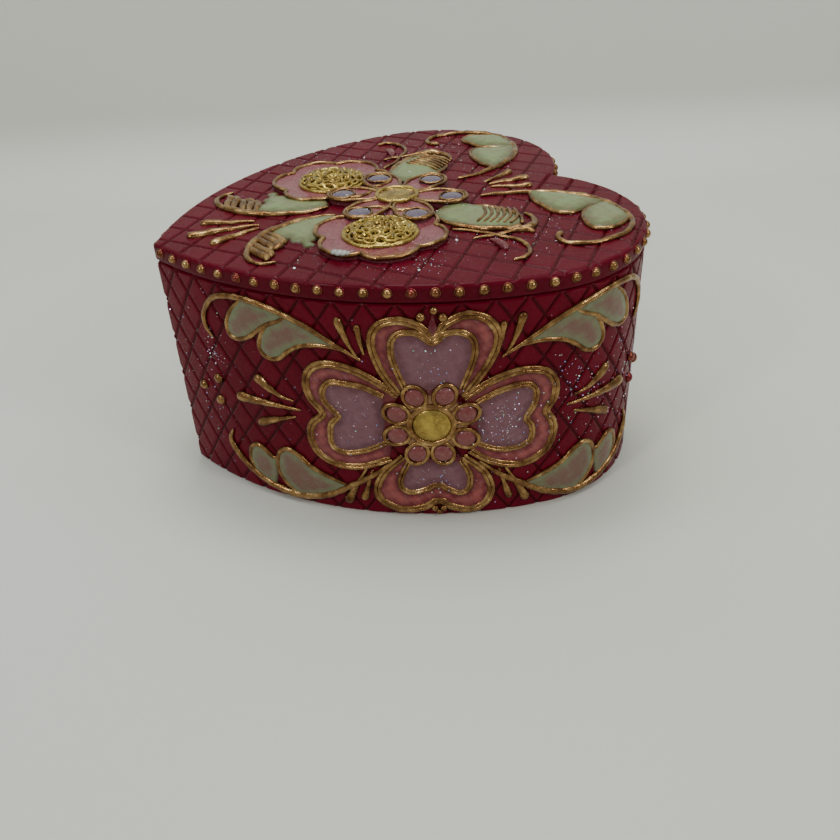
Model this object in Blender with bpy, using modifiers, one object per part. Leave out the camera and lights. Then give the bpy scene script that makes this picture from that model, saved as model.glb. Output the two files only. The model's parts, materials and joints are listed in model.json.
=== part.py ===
"""Heart-shaped wind-up music box: cast box, lift-off lid, wind-up movement and key.

The origin is at the bottom centre of the box. The tip of the heart points to -Y,
the cleft to +Y, and +Z is up. Lengths below are in millimetres.
"""

import math

import bmesh
import bpy
from mathutils import Matrix, Vector

MM = 0.001
GAP = 0.3

# Heart outline.
WIDTH = 100.0
LOBE_RADIUS = 29.88
TIP_DEPTH = 71.46
SIDE_RADIUS = 82.08
CENTRE_SHIFT = 20.29

# Heights of the box.
BOX_TOP = 51.2
LID_BOTTOM = 51.5
LID_TOP = 55.2
PARTITION_LOW = 32.5
PARTITION_HIGH = 35.5
LEDGE = 10.5
WALL = 5.0
CHAMBER_INSET = 6.5
RECESS_INSET = 4.0
BEAD_RADIUS = 1.1
BEAD_PITCH = 4.52
BEAD_START = 2.53
BEAD_HEIGHT = 53.65
BEADS_PER_SIDE = 35

# Movement: the spring barrel, the cylinder and the governor.
PLATE_LOW = 8.6
PLATE_HIGH = 10.2
BED_LOW = 10.5
BED_HIGH = 12.1
BARREL_X = 15.0
BARREL_Y = 12.0
BARREL_RADIUS = 11.0
BARREL_LOW = 12.6
BARREL_HIGH = 20.4
CROWN_TEETH = 24
CROWN_RADIUS = 9.8
CROWN_HEIGHT = 1.25
PINION_TEETH = 8
PINION_RADIUS = CROWN_RADIUS * PINION_TEETH / CROWN_TEETH
CYLINDER_Z = 24.55
CYLINDER_RADIUS = 6.1
CYLINDER_LEFT = -19.5
CYLINDER_RIGHT = -1.0
PIN_HEIGHT = 0.5
NOTES = 18
WHEEL_X = -20.4
WHEEL_TEETH = 36
SMALL_TEETH = 9
GEAR_MODULE = 0.3
GOVERNOR_Y = 17.9
GOVERNOR_Z = 21.1
GOVERNOR_X = -24.4
SLOW_TEETH = 20
SLOW_MODULE = 0.4
WORM_STARTS = 2
WORM_RADIUS = 1.2
WORM_Y = GOVERNOR_Y + SLOW_TEETH * SLOW_MODULE / 2 + WORM_RADIUS + 0.15
MESH_ANGLE = math.atan2(GOVERNOR_Z - CYLINDER_Z, GOVERNOR_Y - BARREL_Y)
COMB_LOW = 24.1
COMB_HIGH = 25.0
COMB_SCREWS = [(-16.5, -6.2), (-4.2, -6.2)]
FOOT_SCREWS = [(-3.6, 12.0), (-25.3, 11.2), (-17.2, 25.6)]

# Screws, as (x, y).
PLATE_SCREWS = [(0.0, -34.5), (-37.6, 31.6), (37.6, 31.6)]
BED_SCREWS = [(-20.0, -4.5), (-10.0, 22.0), (8.0, -4.0)]
SCREW_RADIUS = 0.95
HEAD_RADIUS = 2.0

# Ornament of the wall, as (distance from the tip, height).
PETALS = [
    [(57.5, 33), (53.6, 40), (54.4, 46.5), (58.8, 48.4), (65, 45), (71.5, 48.8), (76.6, 46),
     (76.4, 40), (71.5, 32.5)],
    [(71.5, 31), (77.5, 34.2), (84, 35.5), (89.4, 32), (88, 25.2), (89.9, 18.5), (85, 13),
     (78, 13.5), (72.2, 17.2)],
    [(57.5, 31.5), (51, 36), (44, 37.5), (38.6, 33), (41.5, 25.5), (38.2, 18.6), (43, 13.2),
     (50, 13.4), (55.2, 16)],
    [(57.8, 15.8), (52.6, 10.5), (53, 4.2), (58.5, 2.1), (65, 4.2), (70.5, 2.1), (75.4, 4.2),
     (75.8, 10.2), (70.8, 15.6)],
]
LEAVES = [
    [(50, 38.5), (41, 44.9), (30, 48.7), (20.5, 48.2), (15, 44.5), (15.4, 39)],
    [(54, 10.8), (44, 5), (33, 2.1), (22.5, 4), (16.6, 8.6), (15.4, 14)],
]
STROKES = [
    [(33, 26.8), (29, 29.2), (26, 30.6)],
    [(32.5, 25), (27, 25.1), (21, 25.1)],
    [(33, 23.2), (29, 21.4), (25.5, 20.4)],
]
MIRROR_LINE = 64.5

# Ornament of the lid, as (x, y) with y = 0 on the line through the lobe centres.
LID_LEAVES = [
    [(5, 1), (5.6, 7), (9, 14), (13, 20.4), (19.5, 24), (27, 24), (33.5, 20), (37.6, 13), (38.4, 7.5)],
    [(2, -36), (3, -43), (5.5, -48.5), (9.5, -52.6), (15.5, -53.2), (19, -50)],
    [(24, -12), (27.5, -5.2), (33, -2.8), (38, -4.2), (41, -7.4)],
]
LID_STROKES = [
    [(0, 5), (0, 9), (0, 13.5)],
    [(2, 5), (3.6, 9), (5.4, 12.5)],
    [(0, -52), (0, -56.5), (0, -61)],
    [(2.6, -53.5), (4.4, -56), (6, -58.6)],
]
GEM_ANGLES = [math.radians(60 * step) for step in range(6)]
LOBES = [((7.4, 8.4), (21, 12.8), 3.0), ((15.4, 18.8), (30.5, 15), 3.2)]
LONG_LEAVES = [((6, -10), (25, 3), 4.6), ((3.5, -28), (15, -43), 4.2)]
SIDE_FLOWER = (18, -27)
FLOWER_CENTRE = (0, -17)


# ---------------------------------------------------------------- scene and helpers


def clear_scene():
    for obj in list(bpy.data.objects):
        bpy.data.objects.remove(obj, do_unlink=True)
    for mesh in list(bpy.data.meshes):
        bpy.data.meshes.remove(mesh)


def new_collection(name, hidden=False):
    made = bpy.data.collections.new(name)
    bpy.context.scene.collection.children.link(made)
    made.hide_render = hidden
    return made


def material(name, colour, roughness, metallic):
    made = bpy.data.materials.new(name)
    made.use_nodes = True
    shader = made.node_tree.nodes["Principled BSDF"]
    shader.inputs["Base Color"].default_value = (*colour, 1.0)
    shader.inputs["Roughness"].default_value = roughness
    shader.inputs["Metallic"].default_value = metallic
    made.diffuse_color = (*colour, 1.0)
    return made


clear_scene()
PARTS = new_collection("music_box")
CUTTERS = new_collection("cutters", hidden=True)
BURGUNDY = (0.22, 0.015, 0.035)
GREY = (0.6, 0.6, 0.62)
BRASS = (0.72, 0.52, 0.22)
STEEL = (0.55, 0.56, 0.58)


def smooth_by_angle(mesh, angle=math.radians(40)):
    work = bmesh.new()
    work.from_mesh(mesh)
    for face in work.faces:
        face.smooth = True
    for edge in work.edges:
        if len(edge.link_faces) == 2:
            edge.smooth = edge.calc_face_angle(0.0) < angle
    work.to_mesh(mesh)
    work.free()


def place(name, mesh, look=None, origin=(0, 0, 0)):
    """Link the mesh, given in millimetres, as an object with its origin at the given point."""
    mesh.transform(Matrix.Scale(MM, 4) @ Matrix.Translation(-Vector(origin)))
    smooth_by_angle(mesh)
    mesh.name = name
    obj = bpy.data.objects.new(name, mesh)
    obj.location = Vector(origin) * MM
    if look:
        mesh.materials.clear()
        mesh.materials.append(look)
        PARTS.objects.link(obj)
    else:
        CUTTERS.objects.link(obj)
        obj.display_type = "WIRE"
        obj.hide_render = True
    return obj


def combine(target, tool, operation="DIFFERENCE", crossing=False):
    """Add a live Boolean; the tool is a mesh in millimetres, whose solids may cross each other."""
    count = len(target.modifiers)
    cutter = place(f"{target.name}_tool_{count}", tool)
    step = target.modifiers.new(f"step_{count}", "BOOLEAN")
    step.operation = operation
    step.solver = "EXACT"
    step.use_self = crossing
    step.object = cutter
    return step


def curve_mesh(splines, extrude=0.0, bevel=0.0, sides=0, flat=True):
    """A filled, extruded or swept curve as a welded mesh. Each spline is (points, radii, closed)."""
    curve = bpy.data.curves.new("outline", "CURVE")
    curve.dimensions = "2D" if flat else "3D"
    curve.fill_mode = "BOTH" if flat else "FULL"
    curve.extrude = extrude
    curve.bevel_depth = bevel
    curve.bevel_resolution = sides
    curve.use_fill_caps = not flat
    for points, radii, closed in splines:
        spline = curve.splines.new("POLY")
        spline.points.add(len(points) - 1)
        for index, point in enumerate(points):
            position = (*point, 0.0) if len(point) == 2 else tuple(point)
            spline.points[index].co = (*position, 1.0)
            spline.points[index].radius = radii[index] if radii else 1.0
        spline.use_cyclic_u = closed
    holder = bpy.data.objects.new("outline", curve)
    CUTTERS.objects.link(holder)
    graph = bpy.context.evaluated_depsgraph_get()
    mesh = bpy.data.meshes.new_from_object(holder.evaluated_get(graph))
    bpy.data.objects.remove(holder, do_unlink=True)
    bpy.data.curves.remove(curve)
    work = bmesh.new()
    work.from_mesh(mesh)
    bmesh.ops.remove_doubles(work, verts=work.verts, dist=0.0005)
    bmesh.ops.recalc_face_normals(work, faces=work.faces)
    work.to_mesh(mesh)
    work.free()
    return mesh


def prism(loops, low, high):
    """Straight prism between two heights. Loops after the first are holes."""
    mesh = curve_mesh([(loop, None, True) for loop in loops], extrude=(high - low) / 2)
    mesh.transform(Matrix.Translation((0, 0, (low + high) / 2)))
    return mesh


def box(low, high):
    work = bmesh.new()
    bmesh.ops.create_cube(work, size=1.0)
    size = [b - a for a, b in zip(low, high)]
    middle = [(a + b) / 2 for a, b in zip(low, high)]
    bmesh.ops.scale(work, vec=size, verts=work.verts)
    bmesh.ops.translate(work, vec=middle, verts=work.verts)
    mesh = bpy.data.meshes.new("box")
    work.to_mesh(mesh)
    work.free()
    return mesh


def rod(radius, low, high, centre=(0, 0), axis="Z", sides=24, top_radius=None):
    """A cylinder or cone along Z or X. The centre is (x, y), or (y, z) along X."""
    work = bmesh.new()
    end_radius = radius if top_radius is None else top_radius
    bmesh.ops.create_cone(
        work, cap_ends=True, segments=sides, radius1=radius, radius2=end_radius, depth=high - low
    )
    if axis == "X":
        bmesh.ops.rotate(work, matrix=Matrix.Rotation(math.pi / 2, 3, "Y"), verts=work.verts)
        offset = ((low + high) / 2, centre[0], centre[1])
    else:
        offset = (centre[0], centre[1], (low + high) / 2)
    bmesh.ops.translate(work, vec=offset, verts=work.verts)
    mesh = bpy.data.meshes.new("rod")
    work.to_mesh(mesh)
    work.free()
    return mesh


def joined(meshes):
    """Several closed meshes in one, for a tool that holds separate solids."""
    work = bmesh.new()
    for mesh in meshes:
        work.from_mesh(mesh)
        bpy.data.meshes.remove(mesh)
    made = bpy.data.meshes.new("joined")
    work.to_mesh(made)
    work.free()
    return made


def revolve(profile, centre=(0, 0), steps=32, rise=0.0, turns=1):
    """Turn a closed (radius, height) profile about a vertical axis with a Screw, as a ring or a thread."""
    mesh = bpy.data.meshes.new("profile")
    count = len(profile)
    edges = [(i, (i + 1) % count) for i in range(count)]
    mesh.from_pydata([(r, 0, z) for r, z in profile], edges, [])
    holder = bpy.data.objects.new("profile", mesh)
    CUTTERS.objects.link(holder)
    screw = holder.modifiers.new("turn", "SCREW")
    screw.steps = steps
    screw.render_steps = steps
    screw.screw_offset = rise
    screw.iterations = turns
    screw.use_merge_vertices = rise == 0
    screw.merge_threshold = 0.0001
    graph = bpy.context.evaluated_depsgraph_get()
    turned = bpy.data.meshes.new_from_object(holder.evaluated_get(graph))
    bpy.data.objects.remove(holder, do_unlink=True)
    work = bmesh.new()
    work.from_mesh(turned)
    bmesh.ops.remove_doubles(work, verts=work.verts, dist=0.0005)
    bmesh.ops.holes_fill(work, edges=[edge for edge in work.edges if edge.is_boundary])
    bmesh.ops.recalc_face_normals(work, faces=work.faces)
    bmesh.ops.translate(work, vec=(centre[0], centre[1], 0), verts=work.verts)
    work.to_mesh(turned)
    work.free()
    return turned


# ---------------------------------------------------------------- heart outline


def side_arc():
    """Centre of the side arc and the four angles that bound the side arc and the lobe arc."""
    lobe_x = WIDTH / 2 - LOBE_RADIUS
    lobe = Vector((lobe_x, 0))
    tip = Vector((0, -TIP_DEPTH))
    span = (lobe - tip).length
    near = SIDE_RADIUS - LOBE_RADIUS
    along = (span**2 + SIDE_RADIUS**2 - near**2) / (2 * span)
    across = math.sqrt(SIDE_RADIUS**2 - along**2)
    direction = (lobe - tip) / span
    normal = Vector((direction.y, -direction.x))
    centre = tip + direction * along - normal * across
    outward = (lobe - centre).normalized()
    start = math.atan2((tip - centre).y, (tip - centre).x)
    meet = math.atan2(outward.y, outward.x)
    cleft = math.atan2(math.sqrt(LOBE_RADIUS**2 - lobe_x**2), -lobe_x)
    return centre, lobe, start, meet, cleft


ARC_CENTRE, LOBE_CENTRE, ARC_START, ARC_MEET, CLEFT_ANGLE = side_arc()
ARC_LENGTH = SIDE_RADIUS * (ARC_MEET - ARC_START)
HALF_LENGTH = ARC_LENGTH + LOBE_RADIUS * (CLEFT_ANGLE - ARC_MEET)


def wall_point(distance, offset=0.0, side=1):
    """Point on the right-hand (or mirrored) wall, at a distance from the tip, and its normal."""
    if distance < ARC_LENGTH:
        angle = ARC_START + distance / SIDE_RADIUS
        centre, radius = ARC_CENTRE, SIDE_RADIUS
    else:
        angle = ARC_MEET + (distance - ARC_LENGTH) / LOBE_RADIUS
        centre, radius = LOBE_CENTRE, LOBE_RADIUS
    normal = Vector((math.cos(angle), math.sin(angle)))
    point = centre + normal * (radius + offset)
    return Vector((side * point.x, point.y + CENTRE_SHIFT)), Vector((side * normal.x, normal.y))


def heart(inset=0.0, side_steps=13, lobe_steps=15):
    """Closed heart loop, moved inward by the inset; the tip and cleft stay sharp."""
    lobe_radius = LOBE_RADIUS - inset
    side_radius = SIDE_RADIUS - inset
    start = -math.acos(max(-1.0, min(1.0, -ARC_CENTRE.x / side_radius)))
    cleft = math.acos(-LOBE_CENTRE.x / lobe_radius)
    right = []
    for step in range(side_steps):
        angle = start + (ARC_MEET - start) * step / side_steps
        right.append(ARC_CENTRE + side_radius * Vector((math.cos(angle), math.sin(angle))))
    for step in range(lobe_steps + 1):
        angle = ARC_MEET + (cleft - ARC_MEET) * step / lobe_steps
        right.append(LOBE_CENTRE + lobe_radius * Vector((math.cos(angle), math.sin(angle))))
    right[0].x = 0.0
    right[-1].x = 0.0
    left = [Vector((-p.x, p.y)) for p in reversed(right[1:-1])]
    return [Vector((p.x, p.y + CENTRE_SHIFT)) for p in right + left]


# ---------------------------------------------------------------- ornament on the wall



def on_wall(points, side, offset):
    """Put (distance, height) points on the wall."""
    placed = []
    for distance, height in points:
        point, _ = wall_point(distance, offset, side)
        placed.append((point.x, point.y, height))
    return placed


def wall_disc(distance, height, radius, lift, side, sides=12):
    """A short round boss, half sunk in the wall and square to it."""
    point, normal = wall_point(distance, 0.0, side)
    mesh = rod(radius, -1.5, lift, sides=sides, top_radius=radius * 0.9)
    across = Vector((-normal.y, normal.x, 0))
    outward = Vector((normal.x, normal.y, 0))
    turn = Matrix((across, outward.cross(across), outward))
    mesh.transform(Matrix.Translation((point.x, point.y, height)) @ turn.transposed().to_4x4())
    return mesh


def wall_tubes(side):
    splines = []
    for petal in PETALS:
        splines.append((on_wall(petal, side, 0.05), None, False))
    for leaf in LEAVES:
        taper = [0.55 + 0.08 * index for index in range(len(leaf))]
        mirrored = [(2 * MIRROR_LINE - s, z) for s, z in leaf]
        splines.append((on_wall(leaf, side, 0.05), taper, False))
        splines.append((on_wall(mirrored, side, 0.05), taper, False))
    for stroke in STROKES:
        taper = [0.45, 0.75, 1.1]
        mirrored = [(2 * MIRROR_LINE - s, z) for s, z in stroke]
        splines.append((on_wall(stroke, side, 0.05), taper, False))
        splines.append((on_wall(mirrored, side, 0.05), taper, False))
    return curve_mesh(splines, bevel=1.0, sides=0, flat=False)


def make_body():
    resin = material("painted_resin", BURGUNDY, 0.4, 0.0)
    body = place("box_body", prism([heart()], 0, BOX_TOP), resin)
    combine(body, prism([heart(WALL)], PARTITION_HIGH, BOX_TOP + 2))
    combine(body, prism([heart(CHAMBER_INSET)], LEDGE - 1, PARTITION_LOW))
    combine(body, prism([heart(RECESS_INSET)], -2, LEDGE))
    for side in (1, -1):
        combine(body, wall_tubes(side), "UNION", crossing=True)
        combine(body, wall_disc(MIRROR_LINE, 24.5, 8.6, 0.9, side, 16), "UNION")
        combine(body, wall_disc(MIRROR_LINE, 24.5, 3.6, 1.6, side), "UNION")
    bosses = [rod(3.6, LEDGE, LEDGE + 8, centre) for centre in PLATE_SCREWS[1:]]
    bosses.append(box((-11, -43, LEDGE), (11, -31, LEDGE + 8)))
    combine(body, joined(bosses), "UNION")
    holes = [rod(1.3, LEDGE - 2, LEDGE + 6, centre, sides=12) for centre in PLATE_SCREWS]
    combine(body, joined(holes))
    return body


# ---------------------------------------------------------------- lid



def on_lid(x, y, height=0.0):
    return (x, y + CENTRE_SHIFT, LID_TOP + height)


def dome(x, y, size, angle=0.0, sides=12, rings=6):
    """A flattened ball, half sunk in the lid."""
    work = bmesh.new()
    bmesh.ops.create_uvsphere(work, u_segments=sides, v_segments=rings, radius=1.0)
    mesh = bpy.data.meshes.new("dome")
    work.to_mesh(mesh)
    work.free()
    scale = Matrix.Diagonal((*size, 1.0))
    mesh.transform(Matrix.Translation(on_lid(x, y)) @ Matrix.Rotation(angle, 4, "Z") @ scale)
    return mesh


def scalloped(x, y, radius, depth, lobes, turn, steps=30):
    """Round loop with rounded lobes."""
    loop = []
    for step in range(steps):
        angle = 2 * math.pi * step / steps
        reach = radius - depth + depth * abs(math.cos(lobes * (angle - turn) / 2))
        loop.append((x + reach * math.cos(angle), y + CENTRE_SHIFT + reach * math.sin(angle)))
    return loop


def leaf_lobe(start, end, width, steps=6):
    """Pointed oval loop between two points of the lid."""
    first, last = Vector(start), Vector(end)
    along = last - first
    across = Vector((-along.y, along.x)).normalized()
    loop = []
    for step in range(2 * steps):
        part = step / steps
        travel = part if part <= 1 else 2 - part
        sign = 1 if part <= 1 else -1
        point = first + along * travel + across * sign * width * math.sin(math.pi * travel) ** 0.7
        loop.append((point.x, point.y + CENTRE_SHIFT))
    return loop


def lid_tubes():
    splines = []
    for side in (1, -1):
        for leaf in LID_LEAVES:
            taper = [0.6 + 0.07 * index for index in range(len(leaf))]
            points = [on_lid(side * x, y, 0.1) for x, y in leaf]
            splines.append((points, taper, False))
        for stroke in LID_STROKES:
            if side == -1 and stroke[0][0] == 0:
                continue
            points = [on_lid(side * x, y, 0.1) for x, y in stroke]
            splines.append((points, [0.4, 0.8, 1.1], False))
    return curve_mesh(splines, bevel=1.0, sides=0, flat=False)


def lid_leaves(leaves, height):
    """Flat enamelled leaves on both sides. Each leaf is (start, end, width)."""
    meshes = []
    for side in (1, -1):
        for start, end, width in leaves:
            loop = [(side * x, y) for x, y in leaf_lobe(start, end, width)]
            meshes.append(prism([loop], LID_TOP - 1, LID_TOP + height))
    return joined(meshes)


def lid_beads():
    meshes = []
    for side in (1, -1):
        for index in range(BEADS_PER_SIDE):
            point, _ = wall_point(BEAD_START + BEAD_PITCH * index, 0.0, side)
            work = bmesh.new()
            bmesh.ops.create_uvsphere(work, u_segments=6, v_segments=4, radius=BEAD_RADIUS)
            bmesh.ops.translate(work, vec=(point.x, point.y, BEAD_HEIGHT), verts=work.verts)
            mesh = bpy.data.meshes.new("bead")
            work.to_mesh(mesh)
            work.free()
            meshes.append(mesh)
    return joined(meshes)


def lid_slab():
    """The slab, with its top edge bevelled."""
    mesh = prism([heart()], LID_BOTTOM, LID_TOP)
    work = bmesh.new()
    work.from_mesh(mesh)
    rim = [edge for edge in work.edges
           if min(v.co.z for v in edge.verts) > LID_TOP - 0.01 and edge.calc_face_angle(0) > 0.5]
    bmesh.ops.bevel(work, geom=rim, offset=0.6, segments=1, affect="EDGES", offset_type="WIDTH")
    work.to_mesh(mesh)
    work.free()
    return mesh


def make_lid():
    resin = material("painted_resin_lid", BURGUNDY, 0.4, 0.0)
    lid = place("lid", lid_slab(), resin)
    lip = prism([heart(WALL + 0.6), heart(WALL + 3.2)], LID_BOTTOM - 3, LID_BOTTOM + 0.5)
    combine(lid, lip, "UNION")
    combine(lid, lid_beads(), "UNION")
    combine(lid, lid_leaves(LONG_LEAVES, 1.0), "UNION")
    combine(lid, lid_leaves(LOBES, 0.8), "UNION")
    skirts, centres = [], []
    for side in (1, -1):
        x, y = side * SIDE_FLOWER[0], SIDE_FLOWER[1]
        outline = scalloped(x, y, 14, 2.2, 5, math.radians(90 - side * 40))
        skirts.append(prism([outline], LID_TOP - 1, LID_TOP + 1.3))
        centres.append(dome(x, y, (8.2, 8.2, 3.1), sides=16))
    combine(lid, joined(skirts), "UNION")
    petals = []
    x, y = FLOWER_CENTRE
    for angle in GEM_ANGLES:
        spot = (x + 9.6 * math.cos(angle), y + 9.6 * math.sin(angle))
        petals.append(dome(*spot, (6.4, 3.9, 2.2), angle))
    combine(lid, joined(petals), "UNION")
    disc = rod(4.7, LID_TOP - 1, LID_TOP + 2.5, (x, y + CENTRE_SHIFT), top_radius=4.2)
    combine(lid, disc, "UNION")
    combine(lid, joined(centres), "UNION")
    combine(lid, lid_tubes(), "UNION", crossing=True)
    return lid


# ---------------------------------------------------------------- lining, base and key



def screw(name, look, centre, low, high, head_up, head_radius=HEAD_RADIUS):
    """A slotted pan-head screw. The head is beyond the low or the high end of the shank."""
    x, y = centre
    if head_up:
        head_low, head_high = high, high + 1.1
    else:
        head_low, head_high = low - 1.1, low
    if head_up:
        profile = [(0, head_high), (head_radius * 0.7, head_high), (head_radius, head_high - 0.4),
                   (head_radius, head_low), (SCREW_RADIUS, head_low), (SCREW_RADIUS, low + 0.3),
                   (SCREW_RADIUS - 0.3, low), (0, low)]
    else:
        profile = [(0, high), (SCREW_RADIUS - 0.3, high), (SCREW_RADIUS, high - 0.3),
                   (SCREW_RADIUS, head_high), (head_radius, head_high), (head_radius, head_low + 0.4),
                   (head_radius * 0.7, head_low), (0, head_low)]
    made = place(name, revolve(profile, centre, steps=12), look)
    slot = (head_high - 0.5, head_high + 1) if head_up else (head_low - 1, head_low + 0.5)
    combine(made, box((x - 3, y - 0.25, slot[0]), (x + 3, y + 0.25, slot[1])))
    return made


def make_lining():
    velvet = material("velvet", (0.35, 0.01, 0.03), 0.95, 0.0)
    pad = prism([heart(WALL + 0.4)], PARTITION_HIGH + GAP, PARTITION_HIGH + 2.2)
    return place("compartment_lining", pad, velvet)


def make_base():
    tin = material("base_plate", GREY, 0.45, 0.9)
    plate = place("bottom_plate", prism([heart(RECESS_INSET + GAP)], PLATE_LOW, PLATE_HIGH), tin)
    holes = [rod(SCREW_RADIUS + GAP, PLATE_LOW - 1, PLATE_HIGH + 1, c, sides=12)
             for c in PLATE_SCREWS + BED_SCREWS]
    holes.append(rod(3.4, PLATE_LOW - 1, PLATE_HIGH + 1, (BARREL_X, BARREL_Y)))
    combine(plate, joined(holes))
    steel = material("plate_screw_steel", STEEL, 0.35, 1.0)
    for index, centre in enumerate(PLATE_SCREWS):
        screw(f"plate_screw_{index + 1}", steel, centre, PLATE_LOW - GAP, LEDGE + 5, False)
    dark = material("movement_screw_steel", STEEL, 0.35, 1.0)
    for index, centre in enumerate(BED_SCREWS):
        screw(f"movement_screw_{index + 1}", dark, centre, PLATE_LOW - GAP, BED_HIGH - 0.1, False)
    return plate


def make_key():
    """Wing key: a hub and two flat rounded wings, each with a round hole."""
    brass = material("key_brass", BRASS, 0.3, 1.0)
    centre = (BARREL_X, BARREL_Y)
    origin = (BARREL_X, BARREL_Y, 0)
    key = place("winding_key", rod(2.9, 2.6, 8.2, centre, sides=24), brass, origin)
    outline = []
    for step in range(28):
        angle = 2 * math.pi * step / 28
        wing = 0.62 + 0.38 * math.cos(angle) ** 2
        outline.append((10.6 * math.cos(angle) * (0.9 + 0.1 * wing), 3.3 * math.sin(angle) * wing ** 0.35))
    wings = prism([outline], -0.65, 0.65)
    wings.transform(Matrix.Translation((BARREL_X, BARREL_Y, 4.3)) @ Matrix.Rotation(math.pi / 2, 4, "X"))
    combine(key, wings, "UNION")
    eyes = []
    for side in (1, -1):
        eye = rod(1.5, -2, 2, sides=16)
        eye.transform(
            Matrix.Translation((BARREL_X + side * 6.7, BARREL_Y, 4.3)) @ Matrix.Rotation(math.pi / 2, 4, "X")
        )
        eyes.append(eye)
    combine(key, joined(eyes))
    combine(key, rod(1.75, 3.6, 9, centre, sides=20))
    return key


def make_arbor():
    steel = material("arbor_steel", STEEL, 0.3, 1.0)
    profile = [(0, 22.3), (0.9, 22.3), (1.1, 22.1), (1.1, 19.0), (2.4, 19.0), (2.4, 12.8),
               (2.1, 12.8), (2.1, 8.5), (1.45, 8.5), (1.45, 4.0), (0, 4.0)]
    mesh = revolve(profile, (BARREL_X, BARREL_Y), steps=24)
    arbor = place("winding_arbor", mesh, steel, (BARREL_X, BARREL_Y, 0))
    clip_steel = material("clip_steel", STEEL, 0.4, 1.0)
    ring = [(3.0, 21.5), (3.0, 20.8), (1.4, 20.8), (1.4, 21.5)]
    clip = place("arbor_clip", revolve(ring, (BARREL_X, BARREL_Y), 24), clip_steel, (BARREL_X, BARREL_Y, 0))
    combine(clip, box((BARREL_X - 0.7, BARREL_Y, 20), (BARREL_X + 0.7, BARREL_Y + 4, 22)))
    return arbor


# ---------------------------------------------------------------- movement


def make_bedplate():
    cast = material("bedplate_zinc", (0.5, 0.5, 0.5), 0.45, 0.9)
    outline = [(-29, -6), (-26, -10), (23, -10), (27.6, -5), (27.6, 22), (22, 27.5), (-25, 28), (-29, 24)]
    bed = place("bedplate", prism([outline], BED_LOW, BED_HIGH), cast)
    combine(bed, box((-20.2, -9.2, BED_HIGH - 0.5), (-0.4, -3.4, COMB_LOW - GAP)), "UNION")
    holes = [rod(SCREW_RADIUS + GAP, BED_LOW - 1, BED_HIGH + 1, c, sides=12) for c in BED_SCREWS]
    holes.append(rod(2.75, BED_LOW - 1, BED_HIGH + 1, (BARREL_X, BARREL_Y)))
    blind = [rod(1.0, COMB_LOW - 5, COMB_LOW + 1, c, sides=12) for c in COMB_SCREWS]
    feet = [rod(1.0, BED_LOW - 1, BED_HIGH + 1, c, sides=12) for c in FOOT_SCREWS]
    combine(bed, joined(holes + blind + feet))
    return bed




def make_comb():
    steel = material("comb_steel", (0.62, 0.63, 0.66), 0.22, 1.0)
    pitch = (CYLINDER_RIGHT - CYLINDER_LEFT - 0.6) / NOTES
    tip = BARREL_Y - CYLINDER_RADIUS - PIN_HEIGHT - 0.35
    left = CYLINDER_LEFT + 0.3
    loop = [(left - 0.4, -9.2), (left + pitch * NOTES + 0.2, -9.2)]
    for index in range(NOTES):
        right_side = left + pitch * (NOTES - index) - 0.17
        left_side = right_side - pitch + 0.34
        root = -2.4 + 0.06 * index
        loop += [(right_side, root), (right_side - 0.08, tip), (left_side + 0.08, tip), (left_side, root)]
    comb = place("comb", prism([loop], COMB_LOW, COMB_HIGH), steel)
    combine(comb, joined([rod(1.0, COMB_LOW - 1, COMB_HIGH + 1, c, sides=12) for c in COMB_SCREWS]))
    screw_steel = material("comb_screw_steel", STEEL, 0.35, 1.0)
    for index, centre in enumerate(COMB_SCREWS):
        small_screw(f"comb_screw_{index + 1}", screw_steel, centre, COMB_LOW - 3.5, COMB_HIGH + GAP)
    return comb


def small_screw(name, look, centre, low, high):
    """A slotted cheese-head screw with a 1.4 mm shank."""
    x, y = centre
    profile = [(0, high + 0.9), (1.5, high + 0.9), (1.7, high + 0.7), (1.7, high), (0.7, high),
               (0.7, low), (0, low)]
    made = place(name, revolve(profile, centre, steps=12), look)
    combine(made, box((x - 3, y - 0.2, high + 0.5), (x + 3, y + 0.2, high + 2)))
    return made


def make_barrel():
    brass = material("barrel_brass", BRASS, 0.3, 1.0)
    centre = (BARREL_X, BARREL_Y)
    profile = [(BARREL_RADIUS, BARREL_HIGH), (BARREL_RADIUS, BARREL_LOW), (10.2, BARREL_LOW),
               (10.2, BARREL_HIGH - 1), (1.45, BARREL_HIGH - 1), (1.45, BARREL_HIGH)]
    drum = place("spring_barrel", revolve(profile, centre, 36), brass, (*centre, 0))
    teeth = []
    for index in range(CROWN_TEETH):
        angle = 2 * math.pi * index / CROWN_TEETH
        tooth = box((8.9, -0.26, -0.4), (10.75, 0.26, CROWN_HEIGHT))
        spot = Matrix.Translation((BARREL_X, BARREL_Y, BARREL_HIGH))
        tooth.transform(spot @ Matrix.Rotation(angle, 4, "Z"))
        teeth.append(tooth)
    combine(drum, joined(teeth), "UNION")
    return drum


def make_mainspring():
    """Flat strip wound from the arbor out to the drum wall."""
    blue_steel = material("mainspring_steel", (0.3, 0.34, 0.42), 0.3, 1.0)
    turns = 4.5
    steps = 60
    inner, outer = [], []
    for step in range(steps + 1):
        part = step / steps
        angle = 2 * math.pi * turns * part
        radius = 3.0 + 6.6 * part
        inner.append((BARREL_X + radius * math.cos(angle), BARREL_Y + radius * math.sin(angle)))
        outer.append(
            (BARREL_X + (radius + 0.25) * math.cos(angle), BARREL_Y + (radius + 0.25) * math.sin(angle))
        )
    strip = prism([inner + outer[::-1]], 13.6, 18.9)
    return place("mainspring", strip, blue_steel, (BARREL_X, BARREL_Y, 0))


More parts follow.
